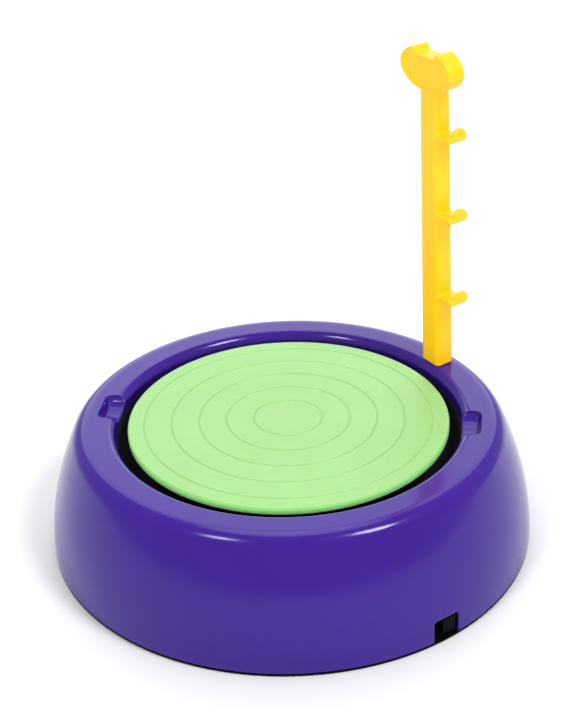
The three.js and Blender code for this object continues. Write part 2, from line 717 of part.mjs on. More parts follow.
// An insulated wire along a smooth curve through its points.
function lead(points) {
  const curve = new THREE.CatmullRomCurve3(points.map((p) => new THREE.Vector3(...p)));
  const section = new THREE.Shape(Array.from({ length: 6 }, (_, i) => polar(LEAD_R, 60 * i)));
  const options = { steps: 16, bevelEnabled: false, extrudePath: curve };
  return solid(new THREE.ExtrudeGeometry(section, options));
}

// Routes from the battery box to the switch, on to the motor, and back to the battery box.
function leads() {
  const { x, y } = MOTOR_AT;
  const side = 1.5 * CELL.pitch;
  const back = BAY_BACK + BAY.wall + 2 * GAP;
  const slotZ = (LEAD_SLOT.low + LEAD_SLOT.top) / 2;
  const capZ = END_CAP_Z[0] - LEAD_R;
  const lie = 5.5; // height of a lead that lies on the bottom cover's ribs
  const reach = SWITCH_BASE.back - LEAD_R - 0.1;
  const nearTag = polar(reach, SWITCH.az - 1.8);
  const farTag = polar(reach, SWITCH.az + 1.8);
  return [
    [
      [side, back, slotZ],
      [30, -37, 7],
      [50, -45, 5],
      [60, -66, 5],
      [nearTag.x, nearTag.y, 8],
    ],
    [
      [farTag.x, farTag.y, 8],
      [68, -72, 9],
      [58, -34, 8],
      [41, 12, lie],
      [x + 5, y - 6, lie],
      [x + 2.5, y, capZ],
    ],
    [
      [-side, back, slotZ],
      [-31, -34, 6],
      [-42, 0, lie],
      [-30, 32, lie],
      [0, 45, lie],
      [x - 5, y + 2, lie],
      [x - 2.5, y, capZ],
    ],
  ];
}

// ---------------------------------------------------------------- build

add("housing_shell", housingShell(), PURPLE);
add("bottom_cover", bottomCover(), BLACK);
add("turntable", turntable(), GREEN);
add("drive_spindle", driveSpindle(), STEEL);

const outputGear = prism(gearShape(TEETH.output, OUTPUT_PHASE, BUSH.bore), ...GEAR_Z.output, 10);
const compoundPin = pin(AXLE.r, FRAME.low + OVER + GAP, FRAME.coverTop + AXLE.proud, AXLE.round);
const pinion = prism(gearShape(TEETH.pinion, PINION_PHASE, SHAFT.r + GAP), ...PINION_Z, 6);
const shaft = pin(SHAFT.r, SHAFT.low, SHAFT.top, SHAFT.round);
const endCap = prism(motorShape(), ...END_CAP_Z);
add("output_gear", outputGear, NYLON);
add("compound_gear", compoundGear(), NYLON).position.set(COMPOUND_AT.x, COMPOUND_AT.y, 0);
add("compound_gear_pin", compoundPin, STEEL).position.set(COMPOUND_AT.x, COMPOUND_AT.y, 0);
add("motor_pinion", pinion, BRONZE).position.set(MOTOR_AT.x, MOTOR_AT.y, 0);
add("motor_shaft", shaft, STEEL).position.set(MOTOR_AT.x, MOTOR_AT.y, 0);
add("motor_can", motorCan(), STEEL).position.set(MOTOR_AT.x, MOTOR_AT.y, 0);
add("motor_end_cap", endCap, NYLON).position.set(MOTOR_AT.x, MOTOR_AT.y, 0);

add("gearbox_frame", gearboxFrame(), GREY);
add("gearbox_cover", gearboxCover(), GREY);
const bush = (r, low, high) => ring(BUSH.bore, r, low, high);
const upperBush = join(bush(BUSH.r, BUSH.low, BUSH_TOP), bush(BUSH.flange, BUSH.flangeLow, BUSH_TOP));
add("lower_bush", bush(BUSH.r, FRAME.high + GAP, BUSH.top), BRONZE);
add("upper_bush", upperBush, BRONZE);
STANDOFFS.forEach(([x, y], i) => {
  const screw = smallScrew(SCREW.gearbox);
  add(`gearbox_screw_${i + 1}`, screw, STEEL).position.set(x, y, FRAME.coverTop + GAP);
});

add("battery_box", batteryBox(), BLACK);
add("battery_door", batteryDoor(), BLACK);
for (let i = 0; i < CELL_COUNT; i++) {
  const battery = add(`battery_${i + 1}`, cell(cellSide(i)), CELL_WRAP);
  battery.position.set(cellX(i), CELL.y, CELL.z);
}
add("battery_contact_end_left", contact(1, [0]), STEEL);
add("battery_contact_middle", contact(1, [1, 2]), STEEL);
add("battery_contact_end_right", contact(1, [3]), STEEL);
add("battery_contact_front_left", contact(-1, [0, 1]), STEEL);
add("battery_contact_front_right", contact(-1, [2, 3]), STEEL);

const flipped = new THREE.Matrix4().makeRotationX(Math.PI);
const coverScrew = placed(smallScrew(SCREW.cover), flipped);
BOSS.az.forEach((az, i) => {
  const at = polar(BOSS.r, az);
  add(`cover_screw_${i + 1}`, coverScrew, STEEL).position.set(at.x, at.y, SCREW.cover.z);
});
const doorScrew = add("battery_door_screw", placed(smallScrew(SCREW.door), flipped), STEEL);
doorScrew.position.set(LATCH_SCREW.x, LATCH_SCREW.y, SCREW.door.z);

const pad = turned([
  [0, 0],
  [FOOT.wide - FOOT.taper, 0],
  [FOOT.wide, FOOT.high],
  [0, FOOT.high],
]);
FOOT.az.forEach((az, i) => {
  const at = polar(FOOT.r, az);
  add(`rubber_foot_${i + 1}`, pad, RUBBER).position.set(at.x, at.y, 0);
});

const switchSeat = new THREE.Group();
switchSeat.rotation.z = SWITCH.az * RAD;
group.add(switchSeat);
add("switch_body", switchBody(), BLACK, switchSeat);
add("switch_knob", switchKnob(), BLACK, switchSeat);

const postSeat = new THREE.Group();
postSeat.applyMatrix4(postMatrix());
group.add(postSeat);
add("tool_post", toolPost(), YELLOW, postSeat);

["lead_battery_to_switch", "lead_switch_to_motor", "lead_motor_to_battery"].forEach((name, i) => {
  add(name, lead(leads()[i]), { color: LEAD_COLOURS[i], roughness: 0.5, metalness: 0 });
});

export default group;
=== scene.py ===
"""Toy pottery wheel: fine meshes, materials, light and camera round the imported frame.

Metres, +Z up, in the frame's own axes. Sizes are written in millimetres times MM.
"""
import math

import bmesh
import bpy
import numpy as np
from mathutils import Matrix, Vector


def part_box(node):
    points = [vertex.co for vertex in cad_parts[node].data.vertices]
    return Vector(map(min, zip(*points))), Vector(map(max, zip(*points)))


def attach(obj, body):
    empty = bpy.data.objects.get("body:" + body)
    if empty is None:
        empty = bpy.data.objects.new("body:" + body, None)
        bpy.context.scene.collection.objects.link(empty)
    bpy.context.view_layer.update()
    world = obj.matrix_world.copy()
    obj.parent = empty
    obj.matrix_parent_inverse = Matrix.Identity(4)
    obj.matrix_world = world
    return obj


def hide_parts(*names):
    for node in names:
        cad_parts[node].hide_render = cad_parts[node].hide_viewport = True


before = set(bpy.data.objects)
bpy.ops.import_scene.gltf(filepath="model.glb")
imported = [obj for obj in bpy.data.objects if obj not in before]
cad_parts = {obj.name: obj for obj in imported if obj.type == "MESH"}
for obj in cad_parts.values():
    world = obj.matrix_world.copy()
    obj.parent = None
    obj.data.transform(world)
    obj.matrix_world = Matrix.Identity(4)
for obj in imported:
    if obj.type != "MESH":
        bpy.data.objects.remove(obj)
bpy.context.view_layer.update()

# ---------------------------------------- driving dimensions

MM = 0.001
AROUND = 240  # columns of a large turned piece
SMALL_AROUND = 96  # columns of a small one
SCREW_AROUND = 48  # columns of a screw, or of a hole
FIT = 0.3  # clearance round a fitted part, in plain millimetres
GAP = FIT * MM

# The housing: flank, shoulder, flat rim, bevel, lip, basin and drain collar.
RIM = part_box("housing_shell")[1].z
FOOT_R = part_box("housing_shell")[1].x
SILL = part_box("housing_shell")[0].z
WALL = 2.4 * MM
FLANK = {"drop": 14.5 * MM, "low": 3 * MM, "high": 60.3 * MM, "power": 1.9}
SHOULDER = {"z": 59.1 * MM, "corner": 105 * MM, "flat": 99 * MM}
BEVEL_R = 89.6 * MM
LIP = {"r": 86.2 * MM, "z": 62.2 * MM}
BASIN = {"wall": 85.3 * MM, "wall_z": 50.5 * MM, "r": 81.5 * MM, "z": 46.9 * MM}
COLLAR = {"hole": 9.2 * MM, "r": 11.4 * MM, "top": 53 * MM}
SHELL_ROUND = {"bevel": 1.8 * MM, "lip": 6 * MM, "basin": 3 * MM,
               "collar_foot": 1 * MM, "collar_top": 0.5 * MM, "collar_hole": 0.4 * MM}

# Its hidden side: how much of the wall's thickness the shoulder's points move by, and how far
# the points under the basin stand from its foot, its wall, its lip and the rim.
INSET = {"drop": 0.25, "corner": 0.6, "flat": 0.3}
HIDDEN = {"foot": 1.4 * MM, "wall": 2.3 * MM, "wall_up": 2.5 * MM,
          "lip": 2.2 * MM, "lip_down": 3.2 * MM, "shoulder": 1 * MM, "spread": WALL - 0.2 * MM}

# Its rows of points.
FLANK_ROWS = {"outside": 22, "inside": 12}
SHOULDER_ROWS = {"outside": 14, "inside": 6}
GATE_ROWS = 8  # up to the top of the gate
GATE_CORNER_ROWS = (0.67, 0.33, 0)  # shares of the gate's corner
RING_STEP = 0.3 * MM
UNDER_STEP = 0.6 * MM
BEVEL_ROOM = {"ring": 0.9 * MM, "start": 2 * MM}  # left free outside the bevel for its rounding

# The tool rests: troughs in the rim with rounded bottoms, open towards the basin. The wall at the
# outer end rises by the draft, and the surface beyond the sides by the rise.
POCKET_AZ = (171.2, -8.8)
POCKET = {"reach": 95.4 * MM, "half": 11.2 * MM, "z": 58.6 * MM, "round": 2.0, "draft": 5.0,
          "corner": 4 * MM, "blend": 4.4 * MM, "edge": 1.6 * MM, "near": 80 * MM,
          "rise": 8, "margin": 12 * MM}

# The cut-out for the switch.
SWITCH_AZ = -55.2
GATE_HALF = 7.3 * MM
GATE_TOP = 13 * MM
GATE_CORNER = 1.4 * MM
GATE_EDGE = 0.25 * MM
GATE_NEAR = 100 * MM  # every point of the gate is further out
GATE_SLACK = 0.1 * MM  # above its top, where its points are still looked for
CLOSE = 1e-6  # nearer than this is the same place

# The turntable: disc, rib and sleeve under it, and the hub with its hexagonal socket.
TABLE_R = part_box("turntable")[1].x
TABLE_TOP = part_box("turntable")[1].z
TABLE_LOW = TABLE_TOP - 3.8 * MM
TABLE_CENTRE = 6 * MM
TABLE_EDGE = 4 * MM
TABLE_ROUND = {"top": 1.1 * MM, "low": 0.6 * MM, "foot": 0.5 * MM, "tip": 0.4 * MM, "sleeve": 0.8 * MM}
TABLE_RIB = {"out": 71.5 * MM, "tip_out": 71.2 * MM, "tip_in": 69.8 * MM, "in": 69.5 * MM,
             "deep": 1.6 * MM}
TABLE_SLEEVE = {"out": 14.4 * MM, "in": 12.6 * MM, "low": 49.5 * MM}
TABLE_HUB = {"out": 8.5 * MM, "in": 7.4 * MM, "low": 50 * MM}
HEX_SOCKET = {"across": 9.6 * MM, "flare": 1.2 * MM, "lead_z": 50.7 * MM, "top": 58.4 * MM}
GROOVES = [(17.1 + 13.7 * i) * MM for i in range(5)]  # the radius of each turned groove
GROOVE_HALF = 0.62 * MM
GROOVE_DEEP = 0.45 * MM
GROOVE_SIDE = ((1.5, 0), (1.15, 0.04), (0.95, 0.2), (0.7, 0.75), (0.4, 1))  # as shares of both

# The spindle, and the chamfers of its hexagonal end: how much narrower, and how far from the top.
SPINDLE = {"r": 4 * MM, "round": 0.5 * MM, "shoulder": 49 * MM}
HEX_SPINDLE = 9 * MM
HEX_LOW = {"less": 0.8 * MM, "z": 49.4 * MM}
HEX_TOP = {"start": 0.9 * MM, "less": 1.4 * MM, "down": 0.1 * MM, "flat_less": 1.9 * MM}
CENTRE_HOLE = {"r": 1.6 * MM, "low_r": 1.2 * MM, "deep": 1 * MM, "point": 1.4 * MM}

# The tool post, leaning outward, with the tongue that plugs into the rim.
POST_R = 94.5 * MM
POST_AZ = 32.5
POST_LEAN = 1.95
POST = {"wide": 13.8 * MM, "deep": 10.9 * MM, "high": 154 * MM, "taper": 0.09, "corner": 2.4 * MM}
POST_STATIONS = 24
POST_VOXEL = 0.42 * MM
TONGUE = {"wide": 9 * MM, "deep": 6.6 * MM, "long": 16 * MM, "corner": 0.5 * MM,
          "lead": 0.8 * MM, "lead_long": 1.2 * MM, "root": 1 * MM}
SOCKET = {"corner": 0.4 * MM, "edge": 0.3 * MM, "fade": 0.35 * MM, "near": -20 * MM, "below": 1 * MM}
HEAD = {"up": 160.7 * MM, "front": -6.4 * MM, "back": 3.1 * MM, "a": 18.8 * MM, "b": 10.8 * MM,
        "rim": 1.5 * MM, "dish": 0.9 * MM}
HEAD_STEPS = 64
NOTCH = {"half": 7.8 * MM, "sill": 6.4 * MM, "tip": 2.2 * MM, "bend": 2 * MM}
NOTCH_STEPS = 6
HOOK = {"up": (39.4 * MM, 84.6 * MM, 126.5 * MM), "out": (10.2 * MM, 9.6 * MM, 9 * MM),
        "near": -4.2 * MM, "thick": 2.3 * MM, "root": 1 * MM}
LOBE = {"x": 2.8 * MM, "r": 4 * MM, "tall": 6.7 * MM}
LOBE_STEPS = 32

# The switch and its knob, in plain millimetres as block() takes them. A pair is the near and the
# far distance from the wheel's axis.
SWITCH = {"body": (112.6, 117.2), "base": (107, 112.7), "base_in": 2, "base_down": 1, "edge": 0.25}
TRACK = {"span": (114.2, 119), "half": 6.4, "low": 2.6, "top": 3.6}
BEZEL = {"span": (117, 120.4), "out": 0.25, "corner": 1.4, "thick": 0.45}
CAP = {"span": (117.6, 120.3), "at": 2.6, "half": 3.5, "low": 0.4, "top": 11.2, "edge": 0.22}
STEM = {"span": (114.6, 118), "half": 1.8, "low": 3, "top": 4}
KNOB_GRIP = {"span": (119.8, 121), "pitch": 2.1, "half": 0.35, "low": -5, "top": 20}

# The underside: cover, feet, battery door and screws.
COVER = {"flange": 121.5 * MM, "low": 0.4 * MM, "step": 1.6 * MM, "plug": 118.4 * MM, "top": 3.1 * MM,
         "edge": 0.35 * MM, "back": 0.2 * MM, "plug_edge": 0.3 * MM}
COVER_SINK = {"r": 3.4 * MM, "top": 2.9 * MM}
SCREW_HOLE_R = 1.7 * MM
CUT_LOW, CUT_TOP = -1, 9  # where a cutter ends below and above the cover, in plain millimetres
BOSS_R = 97 * MM
BOSS_AZ = (60, 120, 215, 325)
FEET_R = 104 * MM
FEET_AZ = (30, 150, 240, 300)
FOOT_PAD = {"r": 8 * MM, "high": 1.9 * MM, "recess": 0.35 * MM, "recess_share": 0.62,
            "tread_share": 0.66, "draft": 0.5 * MM, "recess_round": 0.15 * MM,
            "low_round": 0.4 * MM, "top_round": 0.3 * MM}
DOOR_LOW, DOOR_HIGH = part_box("battery_door")
DOOR_TAB = {"half": 9 * MM, "long": 12 * MM}
DOOR_SINK = {"r": 2.9 * MM, "top": 1.7 * MM}
# The door's leaf, its ribs and its finger grip, in plain millimetres.
LEAF = {"top": 2.8, "overlap": 1, "screw_back": 6, "edge": 0.2}
RIB = {"pitch": 10, "half": 0.8, "inset": 8, "low": 2}
DOOR_GRIP = {"count": 7, "pitch": 2.2, "inset": 9, "wide": 8, "half": 0.5}
COVER_SCREW = {"head_r": 3 * MM, "shank_r": 1.25 * MM, "head": 1.5 * MM}
DOOR_SCREW = {"head_r": 2.5 * MM, "shank_r": 1.1 * MM, "head": 0.9 * MM}
SCREW_SHAPE = {"crown": 0.85, "head_round": 0.4 * MM, "rim_round": 0.1 * MM, "neck": 0.15 * MM,
               "point": 1.2 * MM, "point_round": 0.2 * MM}
THREAD = {"share": 0.94, "below": 0.3 * MM, "end": 1 * MM}
CROSS = {"half": 0.35 * MM, "long": 0.7, "deep": 0.65}  # long and deep are shares of the head

# The studio: a round paper floor, and each light's place, diameter in metres and power in watts.
FLOOR_RINGS = (0.0, 0.5, 1.35)
PAPER = {"colour": (0.90, 0.90, 0.90, 1), "rough": 0.9}
LIGHTS = {
    "left_box": ((-0.89, -0.85, 1.70), 0.40, 8.5),
    "right_box": ((0.95, -0.647, 1.754), 0.55, 17),
    "overhead": ((0, 0.9, 2.5), 1.4, 9),
    "back_screen": ((0, 3.0, 1.75), 4.0, 48),
    "front_fill": ((-0.35, -1.9, 0.66), 1.2, 23),
}
LIGHT_AIM = Vector((0, 0, 0.06))
WORLD = {"light": 0.60, "seen": 1.0}  # strength as light, and as what the camera sees
CAMERA = {"place": (0, -0.641837, 0.448069), "pitch": 28.80, "yaw": 0.2232, "roll": -1.88,
          "lens": 75, "sensor": 36, "near": 0.01, "far": 100}


# ---------------------------------------- mesh helpers

def polar(r, degrees):
    angle = math.radians(degrees)
    return Vector((r * math.cos(angle), r * math.sin(angle), 0))


def smooth_min(a, b, blend):
    """The lower of two heights, rounded where they cross."""
    near = np.maximum(blend - np.abs(a - b), 0) / blend
    return np.minimum(a, b) - near * near * blend / 4


def smooth_step(t):
    t = np.clip(t, 0, 1)
    return t * t * (3 - 2 * t)


def box_distance(u, v, half_u, half_v, corner):
    """Signed distance from a rounded rectangle centred on the origin."""
    qu = np.abs(u) - (half_u - corner)
    qv = np.abs(v) - (half_v - corner)
    outside = np.hypot(np.maximum(qu, 0), np.maximum(qv, 0))
    return outside + np.minimum(np.maximum(qu, qv), 0) - corner


def filleted(corners, closed=False, steps=5):
    """An outline of [r, z] points through (r, z, radius) corners, each rounded to its radius."""
    points = []
    for i, (r, z, radius) in enumerate(corners):
        here = Vector((r, z))
        if radius == 0 or (not closed and i in (0, len(corners) - 1)):
            points.append([r, z])
            continue
        before = (Vector(corners[i - 1][:2]) - here).normalized()
        after = (Vector(corners[(i + 1) % len(corners)][:2]) - here).normalized()
        half = before.angle(after) / 2
        centre = here + (before + after).normalized() * (radius / math.sin(half))
        reach = radius / math.tan(half)
        start, end = here + before * reach - centre, here + after * reach - centre
        for k in range(steps + 1):
            arm = start.lerp(end, k / steps).normalized() * radius
            points.append([centre.x + arm.x, centre.y + arm.y])
    return points


def ring(r, z, columns=AROUND):
    turn = np.linspace(0, 2 * math.pi, columns, endpoint=False)
    return np.stack([r * np.cos(turn), r * np.sin(turn), np.full(columns, z)], 1)


def hex_ring(across, z, columns=AROUND):
    """A hexagon with corners at 0, 60 ... degrees, as a ring of points."""
    turn = np.linspace(0, 2 * math.pi, columns, endpoint=False)
    r = across / 2 / np.cos(np.mod(turn, math.pi / 3) - math.pi / 6)
    return np.stack([r * np.cos(turn), r * np.sin(turn), np.full(columns, z)], 1)


def skin(rows, loop=False, capped=False):
    """Points and faces over rows of points, each row a closed ring of the same count."""
    rows = np.asarray(rows, float)
    count, columns = rows.shape[:2]
    index = np.arange(count * columns).reshape(count, columns)
    low, high = (index, np.roll(index, -1, 0)) if loop else (index[:-1], index[1:])
    quads = np.stack([low, np.roll(low, -1, 1), np.roll(high, -1, 1), high], 2)
    faces = quads.reshape(-1, 4).tolist()
    if capped:
        faces += [index[0][::-1].tolist(), index[-1].tolist()]
    return rows.reshape(-1, 3), faces


def box_skin(low, high):
    """A box as rows, so that it joins other skins."""
    (x0, y0, z0), (x1, y1, z1) = low, high
    base = [(x0, y0), (x1, y0), (x1, y1), (x0, y1)]
    return skin([[(x, y, z) for x, y in base] for z in (z0, z1)], capped=True)


def joined(*parts):
    """Several (points, faces) as one."""
    points, faces, first = [], [], 0
    for some_points, some_faces in parts:
        points.append(np.asarray(some_points, float))
        faces += [[first + i for i in face] for face in some_faces]
        first += len(some_points)
    return np.concatenate(points), faces


def new_object(name, part):
    points, faces = part
    mesh = bpy.data.meshes.new(name)
    mesh.from_pydata([tuple(p) for p in points], [], faces)
    obj = bpy.data.objects.new(name, mesh)
    bpy.context.scene.collection.objects.link(obj)
    work = bmesh.new()
    work.from_mesh(mesh)
    bmesh.ops.remove_doubles(work, verts=work.verts, dist=1e-7)
    bmesh.ops.recalc_face_normals(work, faces=work.faces)
    work.to_mesh(mesh)
    work.free()
    return obj


def applied(obj):
    """Turns an object's modifiers into its mesh."""
    graph = bpy.context.evaluated_depsgraph_get()
    mesh = bpy.data.meshes.new_from_object(obj.evaluated_get(graph))
    obj.modifiers.clear()
    obj.data = mesh
    return obj


def modifier(obj, kind, **values):
    made = obj.modifiers.new(kind.lower(), kind)
    for key, value in values.items():
        setattr(made, key, value)
    return made


def combined(obj, operation, others):
    """Applies closed pieces to an object by booleans, and removes them."""
    for other in others:
        modifier(obj, "BOOLEAN", operation=operation, object=other, solver="EXACT")
    applied(obj)
    for other in others:
        bpy.data.objects.remove(other)
    return obj


def carved(obj, *cutters):
    return combined(obj, "DIFFERENCE", cutters)


def merged(obj, *extras):
    return combined(obj, "UNION", extras)


def bevelled(obj, width, segments=3, angle=35):
    modifier(obj, "BEVEL", width=width, segments=segments, limit_method="ANGLE",
             angle_limit=math.radians(angle), use_clamp_overlap=True)
    return applied(obj)


def finished(obj, material, body, slot, *nodes, sharp=40):
    """Shades a piece smooth, gives it its material, and stands it in for its nodes. Its slot is not used.
    """
    obj.data.shade_smooth()
    obj.data.set_sharp_from_angle(angle=math.radians(sharp))
    obj.data.materials.clear()
    obj.data.materials.append(material)
    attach(obj, body)
    if nodes:
        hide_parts(*nodes)
    return obj


# ---------------------------------------- materials

def add_node(tree, kind, inputs=None, **settings):
    made = tree.nodes.new(kind)
    for key, value in settings.items():
        setattr(made, key, value)
    for key, value in (inputs or {}).items():
        if isinstance(value, bpy.types.NodeSocket):
            tree.links.new(value, made.inputs[key])
        else:
            made.inputs[key].default_value = value
    return made


def noise(tree, where, scale, detail=3.0, rough=0.55):
    inputs = {"Vector": where, "Scale": scale, "Detail": detail, "Roughness": rough}
    return add_node(tree, "ShaderNodeTexNoise", inputs).outputs["Fac"]


def ranged(tree, value, low, high, start=0.3, end=0.7):
    inputs = {"Value": value, "From Min": start, "From Max": end, "To Min": low, "To Max": high}
    return add_node(tree, "ShaderNodeMapRange", inputs).outputs["Result"]


def mixed(tree, share, a, b):
    made = add_node(tree, "ShaderNodeMix", data_type="RGBA")
    for socket, value in ((made.inputs[0], share), (made.inputs[6], a), (made.inputs[7], b)):
        if isinstance(value, bpy.types.NodeSocket):
            tree.links.new(value, socket)
        else:
            socket.default_value = value
    return made.outputs[2]


def shade(colour, factor):
    return tuple(min(1.0, c * factor) for c in colour) + (1.0,)


def math_node(tree, operation, a, b):
    return add_node(tree, "ShaderNodeMath", {0: a, 1: b}, operation=operation).outputs[0]


def height_above(tree, where):
    return add_node(tree, "ShaderNodeSeparateXYZ", {"Vector": where}).outputs["Z"]


def table_side(tree, where):
    """1 on the side of the turntable's disc, where glow is painted, and 0 on its top and underside."""
    height = height_above(tree, where)
    above = ranged(tree, height, 0, 1, TABLE_LOW + 0.1 * MM, TABLE_LOW + 0.4 * MM)
    below = ranged(tree, height, 1, 0, TABLE_TOP - 1.0 * MM, TABLE_TOP - 0.5 * MM)
    return math_node(tree, "MULTIPLY", above, below)


def basin_shade_share(tree, where):
    """1 in the basin below its lip, where shade is painted and the surface dulled, fading to 0 towards
    the lip and on the rest of the housing.
    """
    flat = add_node(tree, "ShaderNodeVectorMath", {0: where, 1: (1.0, 1.0, 0.0)}, operation="MULTIPLY")
    radius = add_node(tree, "ShaderNodeVectorMath", {0: flat.outputs[0]}, operation="LENGTH")
    within = ranged(tree, radius.outputs["Value"], 1, 0, LIP["r"] + 0.4 * MM, LIP["r"] + 1.2 * MM)
    low = ranged(tree, height_above(tree, where), 1, 0, LIP["z"] - 7 * MM, LIP["z"] - 0.4 * MM)
    return math_node(tree, "MULTIPLY", within, low)


# How many features of each noise there are in a metre, and how far the scuffs are drawn out.
CLOUDS, PATCHES, SCUFFS, SMUDGES = 22, 160, 120, 45
SCUFF_STRETCH = (1.0, 14.0, 5.0)
GRAIN_HIGH = 0.4 * MM


def moulded(name, colour, roughness, vary=0.08, rough_vary=0.06, grain=0.02, grain_scale=2600,
            wear=0.25, wear_colour=None, metallic=0.0, ior=1.5, glow=0.0, glow_depth=(1, 1, 1),
            painted_side_glow=None, painted_basin_shade=None):
    """A moulded or metal surface: clouded colour, scuffs, fine grain and paler worn edges.

    The painted side glow is a brighter, deeper green painted on the turntable's side: a painted glow that
    stands in for light through its translucent edge.
    The painted basin shade is near-black painted shade in the basin below its lip, darker towards the
    bottom, where the surface is also dull.
    """
    material = bpy.data.materials.new(name)
    material.use_nodes = True
    tree = material.node_tree
    tree.nodes.clear()
    where = add_node(tree, "ShaderNodeTexCoord").outputs["Object"]

    clouds = noise(tree, where, CLOUDS, 4)
    body = mixed(tree, ranged(tree, clouds, 0, 1), shade(colour, 1 - vary), shade(colour, 1 + vary))
    # Painted glow: the disc's side gets a brighter green, standing in for light through its edge.
    if painted_side_glow:
        body = mixed(tree, table_side(tree, where), body, (*painted_side_glow, 1.0))
    # Painted shade: the basin below its lip is painted nearly black, darker towards the bottom.
    if painted_basin_shade:
        basin = basin_shade_share(tree, where)
        body = mixed(tree, basin, body, (*painted_basin_shade, 1.0))
    edge = add_node(tree, "ShaderNodeNewGeometry").outputs["Pointiness"]
    edge = ranged(tree, edge, 0, wear, 0.52, 0.60)
    patchy = ranged(tree, noise(tree, where, PATCHES, 5), 0.2, 1, 0.35, 0.65)
    pale = wear_colour or tuple(0.45 + 0.55 * c for c in colour)
    body = mixed(tree, math_node(tree, "MULTIPLY", edge, patchy), body, (*pale, 1.0))

    stretched = add_node(tree, "ShaderNodeMapping", {"Vector": where, "Scale": SCUFF_STRETCH})
    scuffs = noise(tree, stretched.outputs["Vector"], SCUFFS, 6, 0.7)
    smudges = noise(tree, where, SMUDGES, 5)
    low, high = max(0.02, roughness - rough_vary), min(1.0, roughness + rough_vary)
    gloss = ranged(tree, math_node(tree, "ADD", scuffs, smudges), low, high, 0.75, 1.25)
    if painted_basin_shade:
        gloss = math_node(tree, "MAXIMUM", gloss, basin)

    fine = noise(tree, where, grain_scale, 2)
    bump = add_node(tree, "ShaderNodeBump", {"Height": fine, "Strength": grain, "Distance": GRAIN_HIGH})
    shader = add_node(
        tree, "ShaderNodeBsdfPrincipled",
        {"Base Color": body, "Roughness": gloss, "Normal": bump.outputs["Normal"],
         "Metallic": metallic, "IOR": ior, "Subsurface Weight": glow},
    )
    shader.inputs["Subsurface Radius"].default_value = glow_depth
    shader.inputs["Subsurface Scale"].default_value = 1 * MM
    output = add_node(tree, "ShaderNodeOutputMaterial")
    tree.links.new(shader.outputs[0], output.inputs[0])
    return material


# Its last colour is painted shade for the basin below the lip.
PURPLE = moulded("purple_gloss", (0.039, 0.0035, 0.265), 0.15, vary=0.06, wear=0.05, grain=0.012,
                 wear_colour=(0.16, 0.12, 0.46), ior=1.41, painted_basin_shade=(0.003, 0.001, 0.009))
# Its side colour is a painted glow, brighter than its top.
GREEN = moulded("green_satin", (0.280, 0.545, 0.187), 0.40, vary=0.03, wear=0.35, grain=0.05,
                glow=0.8, glow_depth=(1.8, 6.0, 1.4), painted_side_glow=(0.40, 1.0, 0.29))
YELLOW = moulded("yellow_satin", (1.0, 0.525, 0.002), 0.36, vary=0.03, wear=0.1, grain=0.03, ior=1.42)
BLACK = moulded("black_texture", (0.002, 0.002, 0.002), 0.6, grain=0.3, grain_scale=1500, wear=0.04,
                wear_colour=(0.05, 0.05, 0.055), ior=1.12)
DOOR = moulded("door_black", (0.008, 0.008, 0.009), 0.5, grain=0.3, grain_scale=1500, wear=0.4,
               wear_colour=(0.06, 0.06, 0.065), ior=1.3)
KNOB = moulded("knob_black", (0.006, 0.006, 0.006), 0.55, grain=0.2, grain_scale=1500, wear=0.05,
               wear_colour=(0.06, 0.06, 0.06), ior=1.15)
RUBBER = moulded("foot_rubber", (0.018, 0.018, 0.018), 0.85, grain=0.4, grain_scale=1200, wear=0.05)
STEEL = moulded("plated_steel", (0.60, 0.61, 0.63), 0.30, metallic=1.0, grain=0.05, wear=0.1)
BRONZE = moulded("bronze", (0.60, 0.36, 0.15), 0.38, metallic=1.0, grain=0.2, wear=0.1)
NYLON = moulded("nylon", (0.80, 0.78, 0.70), 0.5, vary=0.03, grain=0.06, glow=0.1)
GREY = moulded("grey_abs", (0.17, 0.18, 0.19), 0.55, grain=0.25, grain_scale=1500)
WRAP = moulded("cell_wrap", (0.03, 0.16, 0.42), 0.32, grain=0.03)
LEADS = [moulded(f"lead_{name}", colour, 0.45, grain=0.05) for name, colour in
         (("red", (0.50, 0.02, 0.02)), ("blue", (0.02, 0.06, 0.45)), ("black", (0.01, 0.01, 0.01)))]


# ---------------------------------------- housing

def flank_r(z):
    share = max(0.0, (z - FLANK["low"]) / (FLANK["high"] - FLANK["low"]))
    return FOOT_R - FLANK["drop"] * share ** FLANK["power"]


def flank_outline(inset, side):
    """Flank and shoulder, from the foot up to the flat of the rim, moved inward by an inset."""
    heights = list(np.linspace(SILL, GATE_TOP - GATE_CORNER, GATE_ROWS - len(GATE_CORNER_ROWS)))
    heights += [GATE_TOP - GATE_CORNER * share for share in GATE_CORNER_ROWS]
    heights += list(np.linspace(GATE_TOP, SHOULDER["z"], FLANK_ROWS[side])[1:])
    points = []
    for z in heights:
        share = (z - SILL) / (SHOULDER["z"] - SILL)
        drop = INSET["drop"] * inset * share if z > GATE_TOP else 0
        points.append([flank_r(z) - inset, z - drop])
    start = Vector(points[-1])
    corner = Vector((SHOULDER["corner"] - inset * INSET["corner"], RIM - inset))
    end = Vector((SHOULDER["flat"] - inset * INSET["flat"], RIM - inset))
    for k in range(1, SHOULDER_ROWS[side] + 1):
        t = k / SHOULDER_ROWS[side]
        bend = start * (1 - t) ** 2 + corner * (2 * t * (1 - t)) + end * t * t
        points.append([bend.x, bend.y])
    return points


